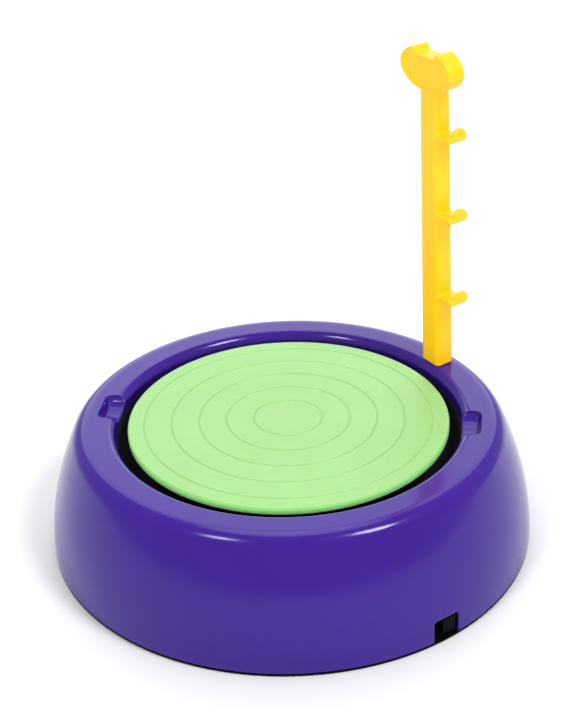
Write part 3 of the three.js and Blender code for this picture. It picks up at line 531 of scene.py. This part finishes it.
def shell_outline():
    """The housing's section as one closed loop: flank, rim, basin, and back along the hidden side."""
    outside = flank_outline(0, "outside")
    inside = flank_outline(WALL, "inside")[::-1]
    flat = [[r, RIM] for r in
            np.arange(SHOULDER["flat"] - RING_STEP, BEVEL_R + BEVEL_ROOM["ring"], -RING_STEP)]
    under = BASIN["z"] - WALL
    top = filleted([
        (BEVEL_R + BEVEL_ROOM["start"], RIM, 0),
        (BEVEL_R, RIM, SHELL_ROUND["bevel"]),
        (LIP["r"], LIP["z"], SHELL_ROUND["lip"]),
        (BASIN["wall"], BASIN["wall_z"], SHELL_ROUND["basin"]),
        (BASIN["r"], BASIN["z"], SHELL_ROUND["basin"]),
        (COLLAR["r"], BASIN["z"], SHELL_ROUND["collar_foot"]),
        (COLLAR["r"], COLLAR["top"], SHELL_ROUND["collar_top"]),
        (COLLAR["hole"], COLLAR["top"], SHELL_ROUND["collar_hole"]),
        (COLLAR["hole"], under, 0),
    ], steps=6)[1:]
    below = [
        [BASIN["r"] + HIDDEN["foot"], under],
        [BASIN["wall"] + HIDDEN["wall"], BASIN["z"] + HIDDEN["wall_up"]],
        [LIP["r"] + HIDDEN["lip"], RIM - HIDDEN["lip_down"]],
    ]
    under_rim = [[r, RIM - WALL] for r in
                 np.arange(BEVEL_R + UNDER_STEP, SHOULDER["flat"] - HIDDEN["shoulder"], UNDER_STEP)]
    return outside + flat + top + below + under_rim + inside


# Where columns crowd together: half of each feature's column offsets, in plain millimetres,
# closest where its side wall stands.
POCKET_COLUMNS = (0, 2, 4, 6, 7.4, 8.4, 9.1, 9.6, 10, 10.35, 10.6, 10.8, 11, 11.15, 11.3, 11.5,
                  11.8, 12.3, 12.9, 13.4, 14.2)
SOCKET_COLUMNS = (0, 1.6, 3.2, 4.1, 4.4, 4.6, 4.75, 4.9, 5.1, 5.6, 6.4, 6.8, 7.1, 7.6, 8.4)
GATE_COLUMNS = (0, 2.6, 4.4, 5.9, 6.37, 6.83, 7.3, 8.7, 10.2)
RIM_SPAN = (84 * MM, 100 * MM)
GATE_SPAN = (119 * MM, 122 * MM)
FEATURE_GAP = math.radians(0.4)  # between a feature's columns and the even ones
# The radii between which the rows of a rim feature run straight instead of round.
PARALLEL = {"from": 88 * MM, "over": 3 * MM, "until": 96.5 * MM, "back": 2.4 * MM}
SUNK_ABOVE = 48 * MM  # only points above this sink into the rim's hollows


def feature(az, span, halves):
    """Its azimuth, the radii between which its columns run parallel, and the columns' offsets."""
    offsets = np.array(halves) * MM
    return az, span, sorted({-v for v in offsets} | set(offsets))


FEATURES = [feature(az, RIM_SPAN, POCKET_COLUMNS) for az in POCKET_AZ]
FEATURES.append(feature(POST_AZ, RIM_SPAN, SOCKET_COLUMNS))
FEATURES.append(feature(SWITCH_AZ, GATE_SPAN, GATE_COLUMNS))
SWITCH_FEATURE = len(FEATURES) - 1


def shell_columns(r):
    """Each column's azimuth, in radians, on a ring of radius r, and its feature and offset there."""
    azimuths, owners = [], []
    spans = []
    for owner, (az, (near, far), offsets) in enumerate(FEATURES):
        at = min(max(r, near), far)
        centre = math.radians(az)
        azimuths += [centre + math.asin(t / at) for t in offsets]
        owners += [(owner, t) for t in offsets]
        spans.append((centre, math.asin(offsets[-1] / near) + FEATURE_GAP))
    for k in range(AROUND):
        az = 2 * math.pi * k / AROUND
        if all(abs(math.remainder(az - centre, 2 * math.pi)) > half for centre, half in spans):
            azimuths.append(az)
            owners.append((None, 0))
    turn = [a % (2 * math.pi) for a in azimuths]
    order = sorted(range(len(turn)), key=turn.__getitem__)
    return np.array([turn[i] for i in order]), [owners[i] for i in order]


def outward_and_along(x, y, az):
    """How far points lie outward at an azimuth, and sideways from it."""
    out, along = polar(1, az), polar(1, az + 90)
    return x * out.x + y * out.y, x * along.x + y * along.y


def pocket_height(u, v, spread):
    """The height of a tool rest's surface, and the points that it holds for."""
    half = POCKET["half"] + spread
    bowl = (1 - np.minimum(np.abs(v) / half, 1) ** POCKET["round"]) ** (1 / POCKET["round"])
    beyond = np.maximum(np.abs(v) - half, 0) * POCKET["rise"]
    trough = RIM - spread - (RIM - POCKET["z"]) * bowl + beyond
    corner = np.clip((np.abs(v) - half) / POCKET["corner"] + 1, 0, 1)
    reach = POCKET["reach"] + spread - POCKET["corner"] * (1 - np.sqrt(1 - corner ** 2))
    end = RIM - spread + (u - reach) * POCKET["draft"]
    hollow = -smooth_min(-end, -trough, POCKET["blend"])
    return hollow, (u > POCKET["near"]) & (beyond < POCKET["margin"])


def socket_sink(u, v, z, spread):
    """How far points sink into the post's socket, along it."""
    half_u, half_v = TONGUE["deep"] / 2 + GAP + spread, TONGUE["wide"] / 2 + GAP + spread
    gap = box_distance(u, v, half_u, half_v, SOCKET["corner"])
    sink = (TONGUE["long"] + 2 * GAP) * (1 - smooth_step((gap + SOCKET["edge"]) / SOCKET["fade"]))
    return np.where((u > SOCKET["near"]) & (z > RIM - WALL - SOCKET["below"]), sink, 0)


def sunk(points, spread):
    """Lowers the points of the rim into the two pockets and the post's socket.

    The spread is 0 for the visible surface and nearly the wall's thickness for the hidden one.
    """
    x, y, z = points.T.copy()
    for az in POCKET_AZ:
        hollow, inside = pocket_height(*outward_and_along(x, y, az), spread)
        z = np.where(inside, smooth_min(z, hollow, POCKET["edge"]), z)
    u, v = outward_and_along(x, y, POST_AZ)
    sink = socket_sink(u - POST_R, v, z, spread)
    out, lean = polar(1, POST_AZ), math.radians(POST_LEAN)
    x = x + sink * math.sin(lean) * out.x
    y = y + sink * math.sin(lean) * out.y
    return np.stack([x, y, z - sink * math.cos(lean)], 1)


def shell_rows(outline):
    """The outline carried round, with the rim's features sunk into it."""
    split = min(i for i, (r, z) in enumerate(outline) if z < BASIN["z"] - WALL / 2 and r < BEVEL_R)
    rows = []
    for i, (r, z) in enumerate(outline):
        turn, owners = shell_columns(r)
        along = np.array([t for _, t in owners])
        parallel = np.array([owner is not None and owner < SWITCH_FEATURE for owner, _ in owners])
        squared = smooth_step((r - PARALLEL["from"]) / PARALLEL["over"])
        squared = squared * (1 - smooth_step((r - PARALLEL["until"]) / PARALLEL["back"]))
        reach = r + np.where(parallel, squared * (np.hypot(r, along) - r), 0)
        points = np.stack([reach * np.cos(turn), reach * np.sin(turn), np.full(len(turn), z)], 1)
        if z > SUNK_ABOVE:
            points = sunk(points, 0 if i < split else HIDDEN["spread"])
        rows.append(points)
    return rows


def open_gate(faces, count):
    """Leaves out the gate's faces and lines its edge, and gives the points on its outer edge.

    Of the housing's rows, the first climb the outer wall and the last come down the inner one.
    """
    _, owners = shell_columns(FOOT_R)
    width = len(owners)
    gate = [i for i, (owner, t) in enumerate(owners)
            if owner == SWITCH_FEATURE and abs(t) < GATE_HALF + CLOSE]
    gate_rows = [*range(count - GATE_ROWS, count), *range(GATE_ROWS)]
    cut = {(row, column) for row in gate_rows[:-1] for column in gate[:-1]}
    faces = [face for n, face in enumerate(faces) if (n // width, n % width) not in cut]
    for column in (gate[0], gate[-1]):
        for near in range(GATE_ROWS - 1):
            far = count - 1 - near
            faces.append([near * width + column, (near + 1) * width + column,
                          (far - 1) * width + column, far * width + column])
    top, back = (GATE_ROWS - 1) * width, (count - GATE_ROWS) * width
    for column in gate[:-1]:
        faces.append([top + column, top + column + 1, back + column + 1, back + column])
    edge = {row * width + column for row in range(GATE_ROWS) for column in (gate[0], gate[-1])}
    return faces, edge | {top + column for column in gate}


def round_corner(vert):
    """Moves a point on the gate's edge onto the rounded corner."""
    out, along = polar(1, SWITCH_AZ), polar(1, SWITCH_AZ + 90)
    u, v = vert.co.dot(out), vert.co.dot(along)
    start_v, start_z = GATE_HALF - GATE_CORNER, GATE_TOP - GATE_CORNER
    across, rise = (abs(v) - start_v) / GATE_CORNER, (vert.co.z - start_z) / GATE_CORNER
    slack = 0.01
    if u < GATE_NEAR or across < slack or rise < slack or max(across, rise) > 1 + slack:
        return
    if across > 1 - slack:
        turn = math.pi / 4 * rise
    elif rise > 1 - slack:
        turn = math.pi / 2 - math.pi / 4 * across
    else:
        return
    new_v = math.copysign(start_v + GATE_CORNER * math.cos(turn), v)
    vert.co += along * (new_v - v)
    vert.co.z = start_z + GATE_CORNER * math.sin(turn)


def soften_gate(obj, edge):
    """Rounds the gate's two upper corners, and bevels its outer edge."""
    work = bmesh.new()
    work.from_mesh(obj.data)
    for vert in work.verts:
        if vert.co.z < GATE_TOP + GATE_SLACK:
            round_corner(vert)
    sharp = [line for line in work.edges if all(vert.index in edge for vert in line.verts)]
    bmesh.ops.bevel(work, geom=sharp, offset=GATE_EDGE, segments=2, affect="EDGES", profile=0.5)
    bmesh.ops.recalc_face_normals(work, faces=work.faces)
    work.to_mesh(obj.data)
    work.free()


def housing():
    rows = shell_rows(shell_outline())
    points, faces = skin(rows, loop=True)
    faces, edge = open_gate(faces, len(rows))
    obj = new_object("housing_fine", (points, faces))
    soften_gate(obj, edge)
    return finished(obj, PURPLE, "housing", "shell_purple", "housing_shell")


# ---------------------------------------- turntable and spindle

def turntable():
    groove = [(-s, d) for s, d in GROOVE_SIDE] + [*reversed(GROOVE_SIDE)]
    top = [[0, TABLE_TOP], [TABLE_CENTRE, TABLE_TOP]]
    for middle in GROOVES:
        top += [[middle + GROOVE_HALF * s, TABLE_TOP - GROOVE_DEEP * d] for s, d in groove]
    foot, tip = TABLE_ROUND["foot"], TABLE_ROUND["tip"]
    edge = filleted([
        (TABLE_R - TABLE_EDGE, TABLE_TOP, 0),
        (TABLE_R, TABLE_TOP, TABLE_ROUND["top"]),
        (TABLE_R, TABLE_LOW, TABLE_ROUND["low"]),
        (TABLE_RIB["out"], TABLE_LOW, foot),
        (TABLE_RIB["tip_out"], TABLE_LOW - TABLE_RIB["deep"], tip),
        (TABLE_RIB["tip_in"], TABLE_LOW - TABLE_RIB["deep"], tip),
        (TABLE_RIB["in"], TABLE_LOW, foot),
        (TABLE_SLEEVE["out"], TABLE_LOW, TABLE_ROUND["sleeve"]),
        (TABLE_SLEEVE["out"], TABLE_SLEEVE["low"], tip),
        (TABLE_SLEEVE["in"], TABLE_SLEEVE["low"], tip),
        (TABLE_SLEEVE["in"], TABLE_LOW, foot),
        (TABLE_HUB["out"], TABLE_LOW, foot),
        (TABLE_HUB["out"], TABLE_HUB["low"], tip),
        (TABLE_HUB["in"], TABLE_HUB["low"], 0),
    ], steps=6)
    rows = [ring(r, z) for r, z in top + edge]
    rows += [hex_ring(HEX_SOCKET["across"] + HEX_SOCKET["flare"], TABLE_HUB["low"]),
             hex_ring(HEX_SOCKET["across"], HEX_SOCKET["lead_z"]),
             hex_ring(HEX_SOCKET["across"], HEX_SOCKET["top"]),
             ring(0, HEX_SOCKET["top"])]
    obj = new_object("turntable_fine", skin(rows))
    return finished(obj, GREEN, "wheel_head", "turntable_green", "turntable")


def spindle():
    low, high = (corner.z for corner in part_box("drive_spindle"))
    shaft = filleted([(0, low, 0), (SPINDLE["r"], low, SPINDLE["round"]),
                      (SPINDLE["r"], SPINDLE["shoulder"], 0)], steps=4)
    hexagon = ((HEX_LOW["less"], SPINDLE["shoulder"]), (0, HEX_LOW["z"]),
               (0, high - HEX_TOP["start"]), (HEX_TOP["less"], high - HEX_TOP["down"]),
               (HEX_TOP["flat_less"], high))
    hole = ((CENTRE_HOLE["r"], high), (CENTRE_HOLE["low_r"], high - CENTRE_HOLE["deep"]),
            (0, high - CENTRE_HOLE["point"]))
    rows = [ring(r, z) for r, z in shaft]
    rows += [hex_ring(HEX_SPINDLE - less, z) for less, z in hexagon]
    rows += [ring(r, z) for r, z in hole]
    obj = new_object("drive_spindle_fine", skin(rows))
    return finished(obj, STEEL, "spindle", "steel", "drive_spindle", sharp=30)


# ---------------------------------------- tool post

def post_matrix():
    """The post's own frame: X outward from the wheel, Z along the leaning post, foot on the rim."""
    turn = Matrix.Rotation(math.radians(POST_AZ), 4, "Z")
    lean = Matrix.Rotation(-math.radians(POST_LEAN), 4, "Y")
    foot = polar(POST_R, POST_AZ)
    return Matrix.Translation((foot.x, foot.y, RIM)) @ (turn @ lean)


def rounded_section(half_x, half_y, corner, z, steps=5):
    """A rounded rectangle at one height."""
    corners = [(half_x, half_y, corner), (-half_x, half_y, corner),
               (-half_x, -half_y, corner), (half_x, -half_y, corner)]
    return [(x, y, z) for x, y in filleted(corners, closed=True, steps=steps)]


def quadratic(start, corner, end):
    """A rounded corner's points, without its start."""
    start, corner, end = Vector(start), Vector(corner), Vector(end)
    return [tuple(start.lerp(corner, t).lerp(corner.lerp(end, t), t))
            for t in np.linspace(0, 1, NOTCH_STEPS + 1)[1:]]


def head_outline(inset):
    """The head's oval in (Y, Z), with the wide round-cornered notch in its top."""
    a, b, side = HEAD["a"] - inset, HEAD["b"] - inset, NOTCH["half"] + inset
    tip, bend, low = NOTCH["tip"], NOTCH["bend"], NOTCH["sill"] - inset
    edge = math.acos((side + tip) / a)
    peak = b * math.sqrt(1 - (side / a) ** 2)
    sweep = np.linspace(math.pi - edge, 2 * math.pi + edge, HEAD_STEPS)
    outline = [(a * math.cos(t), b * math.sin(t)) for t in sweep]
    outline += quadratic(outline[-1], (side, peak), (side, peak - tip))
    outline += quadratic((side, low + bend), (side, low), (side - bend, low))
    outline += quadratic((bend - side, low), (-side, low), (-side, low + bend))
    outline += quadratic((-side, peak - tip), (-side, peak), outline[0])[:-1]
    return outline


def shaft_sections():
    sections = []
    for share in np.linspace(0, 1, POST_STATIONS):
        shrink = 1 - POST["taper"] * share
        sections.append(rounded_section(POST["deep"] / 2 * shrink, POST["wide"] / 2 * shrink,
                                        POST["corner"], GAP + POST["high"] * share))
    return sections


def tongue_sections():
    half_d, half_w = TONGUE["deep"] / 2, TONGUE["wide"] / 2
    lead, corner = TONGUE["lead"], TONGUE["corner"]
    return [rounded_section(half_d - lead, half_w - lead, corner, -TONGUE["long"]),
            rounded_section(half_d, half_w, corner, TONGUE["lead_long"] - TONGUE["long"]),
            rounded_section(half_d, half_w, corner, GAP + TONGUE["root"])]


def head_sections():
    """The notched oval, with a narrow raised rim round its dished front."""
    wide, inner = head_outline(0), head_outline(HEAD["rim"])
    front, back = HEAD["front"], HEAD["back"]
    stations = ((back, wide), (front, wide), (front, inner), (front + HEAD["dish"], inner))
    return [[(x, y, z + HEAD["up"]) for y, z in shape] for x, shape in stations]


def hook(up, out):
    """A J-shaped hook: the flat tab out from the post's side, and the lobe that stands at its end."""
    rise = LOBE["tall"] - LOBE["r"]
    foot = math.sqrt(LOBE["r"] ** 2 - rise ** 2)
    turn = math.asin(rise / LOBE["r"])
    end = -POST["wide"] / 2 - out
    tab = box_skin((HOOK["near"], end, up),
                   (LOBE["x"] + foot, HOOK["root"] - POST["wide"] / 2, up + HOOK["thick"]))
    arch = [(LOBE["x"] + LOBE["r"] * math.cos(t), up + rise + LOBE["r"] * math.sin(t))
            for t in np.linspace(-turn, math.pi, LOBE_STEPS)]
    arch.append((LOBE["x"] - LOBE["r"], up))
    lobe = skin([[(x, y, z) for x, z in arch] for y in (end, end + HOOK["thick"])], capped=True)
    return [tab, lobe]


def tool_post():
    """Shaft, tongue, head and hooks, blended into one moulding."""
    parts = [skin(rows, capped=True) for rows in (shaft_sections(), tongue_sections(), head_sections())]
    for up, out in zip(HOOK["up"], HOOK["out"]):
        parts += hook(up, out)
    obj = new_object("tool_post_fine", joined(*parts))
    modifier(obj, "REMESH", mode="VOXEL", voxel_size=POST_VOXEL)
    modifier(obj, "SMOOTH", factor=0.5, iterations=9)
    applied(obj)
    obj.data.transform(post_matrix())
    return finished(obj, YELLOW, "post", "post_yellow", "tool_post", sharp=75)


# ---------------------------------------- switch

SWITCH_LOW = COVER["top"] / MM + FIT  # the room in the gate, in plain millimetres
SWITCH_TOP = GATE_TOP / MM - FIT
SWITCH_HALF = GATE_HALF / MM - FIT


def switch_local():
    return Matrix.Rotation(math.radians(SWITCH_AZ), 4, "Z")


def block(name, low, high, width=0.0, segments=3):
    """A box between two corners in plain millimetres, bevelled if it has a width."""
    obj = new_object(name, box_skin([v * MM for v in low], [v * MM for v in high]))
    return bevelled(obj, width * MM, segments) if width else obj


def span_block(name, span, middle, half, low, top):
    """A box over a span outward from the axis, to both sides of its middle."""
    return block(name, (span[0], middle - half, low), (span[1], middle + half, top))


def switch_bezel():
    """The thin lining of the gate round the switch, as one closed ring."""
    near, far = BEZEL["span"]
    middle = (SWITCH_TOP + SWITCH_LOW) / 2
    rows = []
    for inset, depths in ((0, (near, far)), (BEZEL["thick"], (far, near))):
        outline = rounded_section((SWITCH_TOP - SWITCH_LOW) / 2 + BEZEL["out"] - inset,
                                  SWITCH_HALF + BEZEL["out"] - inset, BEZEL["corner"] - inset, 0)
        rows += [[(u * MM, y * MM, (x + middle) * MM) for x, y, _ in outline] for u in depths]
    return new_object("bezel", skin(rows, loop=True))


def switch_body():
    low, top, half = SWITCH_LOW, SWITCH_TOP, SWITCH_HALF
    body = span_block("switch_body_fine", SWITCH["body"], 0, half, low, top)
    merged(body, span_block("switch_base", SWITCH["base"], 0, half - SWITCH["base_in"],
                            low + SWITCH["base_down"], top - SWITCH["base_down"]))
    carved(body, span_block("track", TRACK["span"], 0, TRACK["half"],
                            low + TRACK["low"], top - TRACK["top"]))
    bevelled(body, SWITCH["edge"] * MM)
    merged(body, switch_bezel())
    body.data.transform(switch_local())
    return finished(body, BLACK, "housing", "cover_black", "switch_body", sharp=30)


def switch_knob():
    low, top, at = SWITCH_LOW, SWITCH_TOP, CAP["at"]
    cap = span_block("switch_knob_fine", CAP["span"], at, CAP["half"], low + CAP["low"], CAP["top"])
    merged(cap, span_block("stem", STEM["span"], at, STEM["half"], low + STEM["low"], top - STEM["top"]))
    carved(cap, *(span_block(f"grip_{i}", KNOB_GRIP["span"], at + i * KNOB_GRIP["pitch"],
                             KNOB_GRIP["half"], KNOB_GRIP["low"], KNOB_GRIP["top"]) for i in (-1, 0, 1)))
    bevelled(cap, CAP["edge"] * MM, 3)
    cap.data.transform(switch_local())
    return finished(cap, KNOB, "power_switch", "switch_grey", "switch_knob", sharp=30)


# ---------------------------------------- underside

def stub(name, r, low, high, at):
    """A plain cylinder for cutting holes with."""
    rows = [ring(r, z, SCREW_AROUND) + np.array(at) for z in (low, high)]
    return new_object(name, skin(rows, capped=True))


def bottom_cover():
    outline = filleted([
        (0, COVER["low"], 0),
        (COVER["flange"], COVER["low"], COVER["edge"]),
        (COVER["flange"], COVER["step"], COVER["back"]),
        (COVER["plug"], COVER["step"], 0),
        (COVER["plug"], COVER["top"], COVER["plug_edge"]),
        (0, COVER["top"], 0),
    ], steps=4)
    obj = new_object("bottom_cover_fine", skin([ring(r, z) for r, z in outline]))
    cutters = []
    for i, az in enumerate(FEET_AZ):
        at = polar(FEET_R, az)
        cutters.append(stub(f"foot_cut_{i}", FOOT_PAD["r"] + GAP,
                            CUT_LOW * MM, FOOT_PAD["high"] + GAP, at))
    for i, az in enumerate(BOSS_AZ):
        at = polar(BOSS_R, az)
        cutters.append(stub(f"sink_{i}", COVER_SINK["r"], CUT_LOW * MM, COVER_SINK["top"], at))
        cutters.append(stub(f"hole_{i}", SCREW_HOLE_R, 0, CUT_TOP * MM, at))
    x = DOOR_HIGH.x / MM + FIT
    front = (DOOR_LOW.y + DOOR_TAB["long"]) / MM - FIT
    back = DOOR_HIGH.y / MM + FIT
    tab = DOOR_TAB["half"] / MM + FIT
    tab_front, tab_back = DOOR_LOW.y / MM - FIT, front + LEAF["overlap"]
    cutters.append(block("mouth", (-x, front, CUT_LOW), (x, back, CUT_TOP)))
    cutters.append(block("tab_mouth", (-tab, tab_front, CUT_LOW), (tab, tab_back, CUT_TOP)))
    carved(obj, *cutters)
    return finished(obj, BLACK, "housing", "cover_black", "bottom_cover", sharp=30)


def battery_door():
    """A ribbed leaf with a screwed tab at the front and a ridged finger grip at the back."""
    x, back = DOOR_HIGH.x / MM, DOOR_HIGH.y / MM
    front = (DOOR_LOW.y + DOOR_TAB["long"]) / MM
    low, top = DOOR_LOW.z / MM, LEAF["top"]
    leaf = block("battery_door_fine", (-x, front, low), (x, back, top))
    tab = DOOR_TAB["half"] / MM
    extras = [block("tab", (-tab, DOOR_LOW.y / MM, low), (tab, front + LEAF["overlap"], top))]
    for i in range(-2, 3):
        middle = i * RIB["pitch"]
        extras.append(block(f"rib_{i}", (middle - RIB["half"], front + RIB["inset"], RIB["low"]),
                            (middle + RIB["half"], back - RIB["inset"], DOOR_HIGH.z / MM)))
    merged(leaf, *extras)
    screw_at = (0, (front - LEAF["screw_back"]) * MM, 0)
    cutters = [stub("door_sink", DOOR_SINK["r"], CUT_LOW * MM, DOOR_SINK["top"], screw_at),
               stub("door_hole", SCREW_HOLE_R, 0, CUT_TOP * MM, screw_at)]
    wide, half = DOOR_GRIP["wide"], DOOR_GRIP["half"]
    for i in range(DOOR_GRIP["count"]):
        y = back - DOOR_GRIP["inset"] - DOOR_GRIP["pitch"] * i
        cutters.append(block(f"grip_{i}", (-wide, y - half, low + CUT_LOW), (wide, y + half, low + half)))
    carved(leaf, *cutters)
    bevelled(leaf, LEAF["edge"] * MM, 2)
    return finished(leaf, DOOR, "door", "cover_black", "battery_door", sharp=30)


def rubber_feet():
    r, high, recess = FOOT_PAD["r"], FOOT_PAD["high"], FOOT_PAD["recess"]
    outline = filleted([
        (0, recess, 0),
        (r * FOOT_PAD["recess_share"], recess, FOOT_PAD["recess_round"]),
        (r * FOOT_PAD["tread_share"], 0, FOOT_PAD["recess_round"]),
        (r - FOOT_PAD["draft"], 0, FOOT_PAD["low_round"]),
        (r, high, FOOT_PAD["top_round"]),
        (0, high, 0),
    ], steps=4)
    for i, az in enumerate(FEET_AZ):
        at = polar(FEET_R, az)
        rows = [ring(radius, z, SMALL_AROUND) + np.array(at) for radius, z in outline]
        obj = new_object(f"rubber_foot_{i + 1}_fine", skin(rows))
        finished(obj, RUBBER, "housing", "foot_rubber", f"rubber_foot_{i + 1}")


def screw(node, size, at, body):
    """A cross-head screw, head down, seen only from below."""
    low, high = (corner.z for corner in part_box(node))
    neck = low + size["head"]
    outline = filleted([
        (0, low, 0),
        (size["head_r"] * SCREW_SHAPE["crown"], low, SCREW_SHAPE["head_round"]),
        (size["head_r"], neck, SCREW_SHAPE["rim_round"]),
        (size["shank_r"], neck, SCREW_SHAPE["neck"]),
        (size["shank_r"], high - SCREW_SHAPE["point"], SCREW_SHAPE["point_round"]),
        (0, high, 0),
    ], steps=4)
    rows = []
    for r, z in outline:
        points = ring(r, z, SCREW_AROUND)
        if neck + THREAD["below"] < z < high - THREAD["end"]:
            points[:, :2] *= THREAD["share"]
        rows.append(points + np.array(at))
    obj = new_object(f"{node}_fine", skin(rows))
    long, deep = size["head_r"] * CROSS["long"], size["head"] * CROSS["deep"]
    arms = []
    for x, y in ((long, CROSS["half"]), (CROSS["half"], long)):
        corners = (at.x - x, at.y - y, low + CUT_LOW * MM), (at.x + x, at.y + y, low + deep)
        arms.append(new_object("cross", box_skin(*corners)))
    carved(obj, *arms)
    finished(obj, STEEL, body, "steel", node, sharp=30)


def screws():
    for i, az in enumerate(BOSS_AZ):
        screw(f"cover_screw_{i + 1}", COVER_SCREW, polar(BOSS_R, az), "housing")
    low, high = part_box("battery_door_screw")
    middle = Vector(((low.x + high.x) / 2, (low.y + high.y) / 2, 0))
    screw("battery_door_screw", DOOR_SCREW, middle, "door")


# ---------------------------------------- pieces that stay as they are

def keep_inner_nodes():
    finishes = {
        "lead_battery_to_switch": LEADS[0], "lead_switch_to_motor": LEADS[1],
        "lead_motor_to_battery": LEADS[2], "lower_bush": BRONZE, "upper_bush": BRONZE,
        "motor_pinion": BRONZE, "output_gear": NYLON, "compound_gear": NYLON, "motor_end_cap": NYLON,
        "gearbox_frame": GREY, "gearbox_cover": GREY, "battery_box": BLACK,
    }
    for name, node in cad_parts.items():
        if node.hide_render:
            continue
        finish = finishes.get(name, STEEL)
        if name.startswith("battery_") and name[-1].isdigit():
            finish = WRAP
        node.data.materials.clear()
        node.data.materials.append(finish)


# ---------------------------------------- studio

def studio_floor():
    floor = new_object("studio_floor", skin([ring(r, 0, SMALL_AROUND) for r in FLOOR_RINGS]))
    paper = bpy.data.materials.new("studio_paper")
    paper.use_nodes = True
    shader = paper.node_tree.nodes["Principled BSDF"]
    shader.inputs["Base Color"].default_value = PAPER["colour"]
    shader.inputs["Roughness"].default_value = PAPER["rough"]
    floor.data.materials.append(paper)
    floor.data.shade_smooth()


def studio_world():
    """Even white surroundings, brighter to the camera than as light."""
    world = bpy.data.worlds.new("studio")
    world.use_nodes = True
    background = world.node_tree.nodes["Background"]
    background.inputs["Color"].default_value = (1, 1, 1, 1)
    seen = add_node(world.node_tree, "ShaderNodeLightPath").outputs["Is Camera Ray"]
    strength = ranged(world.node_tree, seen, WORLD["light"], WORLD["seen"], 0, 1)
    world.node_tree.links.new(strength, background.inputs["Strength"])
    bpy.context.scene.world = world
    bpy.context.scene.view_settings.view_transform = "Standard"


def area_light(name, place, size, power):
    light = bpy.data.lights.new(name, "AREA")
    light.shape = "DISK"
    light.size = size
    light.energy = power
    obj = bpy.data.objects.new(name, light)
    obj.location = place
    aim = LIGHT_AIM - Vector(place)
    obj.rotation_mode = "QUATERNION"
    obj.rotation_quaternion = aim.to_track_quat("-Z", "Y")
    bpy.context.scene.collection.objects.link(obj)
    return obj


def studio_lights():
    """Soft boxes all round. The front one lights only the disc and the post, without a highlight."""
    made = {name: area_light(name, *values) for name, values in LIGHTS.items()}
    fill = made["front_fill"]
    fill.visible_glossy = False
    lit = bpy.data.collections.new("front_fill_lights_these")
    for name in ("turntable_fine", "tool_post_fine"):
        lit.objects.link(bpy.data.objects[name])
    fill.light_linking.receiver_collection = lit


def camera():
    """The viewing angle: almost straight ahead, looking down, with a slight roll."""
    pitch, yaw, roll = (math.radians(CAMERA[key]) for key in ("pitch", "yaw", "roll"))
    ahead = Vector((math.sin(yaw) * math.cos(pitch), math.cos(yaw) * math.cos(pitch), -math.sin(pitch)))
    level = Vector((math.cos(yaw), -math.sin(yaw), 0))
    upright = level.cross(ahead)
    right = level * math.cos(roll) + upright * math.sin(roll)
    up = upright * math.cos(roll) - level * math.sin(roll)
    data = bpy.data.cameras.new("camera")
    data.lens = CAMERA["lens"]
    data.sensor_width = CAMERA["sensor"]
    data.clip_start = CAMERA["near"]
    data.clip_end = CAMERA["far"]
    obj = bpy.data.objects.new("camera", data)
    turn = Matrix((right, up, -ahead)).transposed()
    obj.matrix_world = Matrix.Translation(CAMERA["place"]) @ turn.to_4x4()
    bpy.context.scene.collection.objects.link(obj)
    bpy.context.scene.camera = obj


camera()
housing()
turntable()
spindle()
tool_post()
switch_body()
switch_knob()
bottom_cover()
battery_door()
rubber_feet()
screws()
keep_inner_nodes()
studio_floor()
studio_world()
studio_lights()
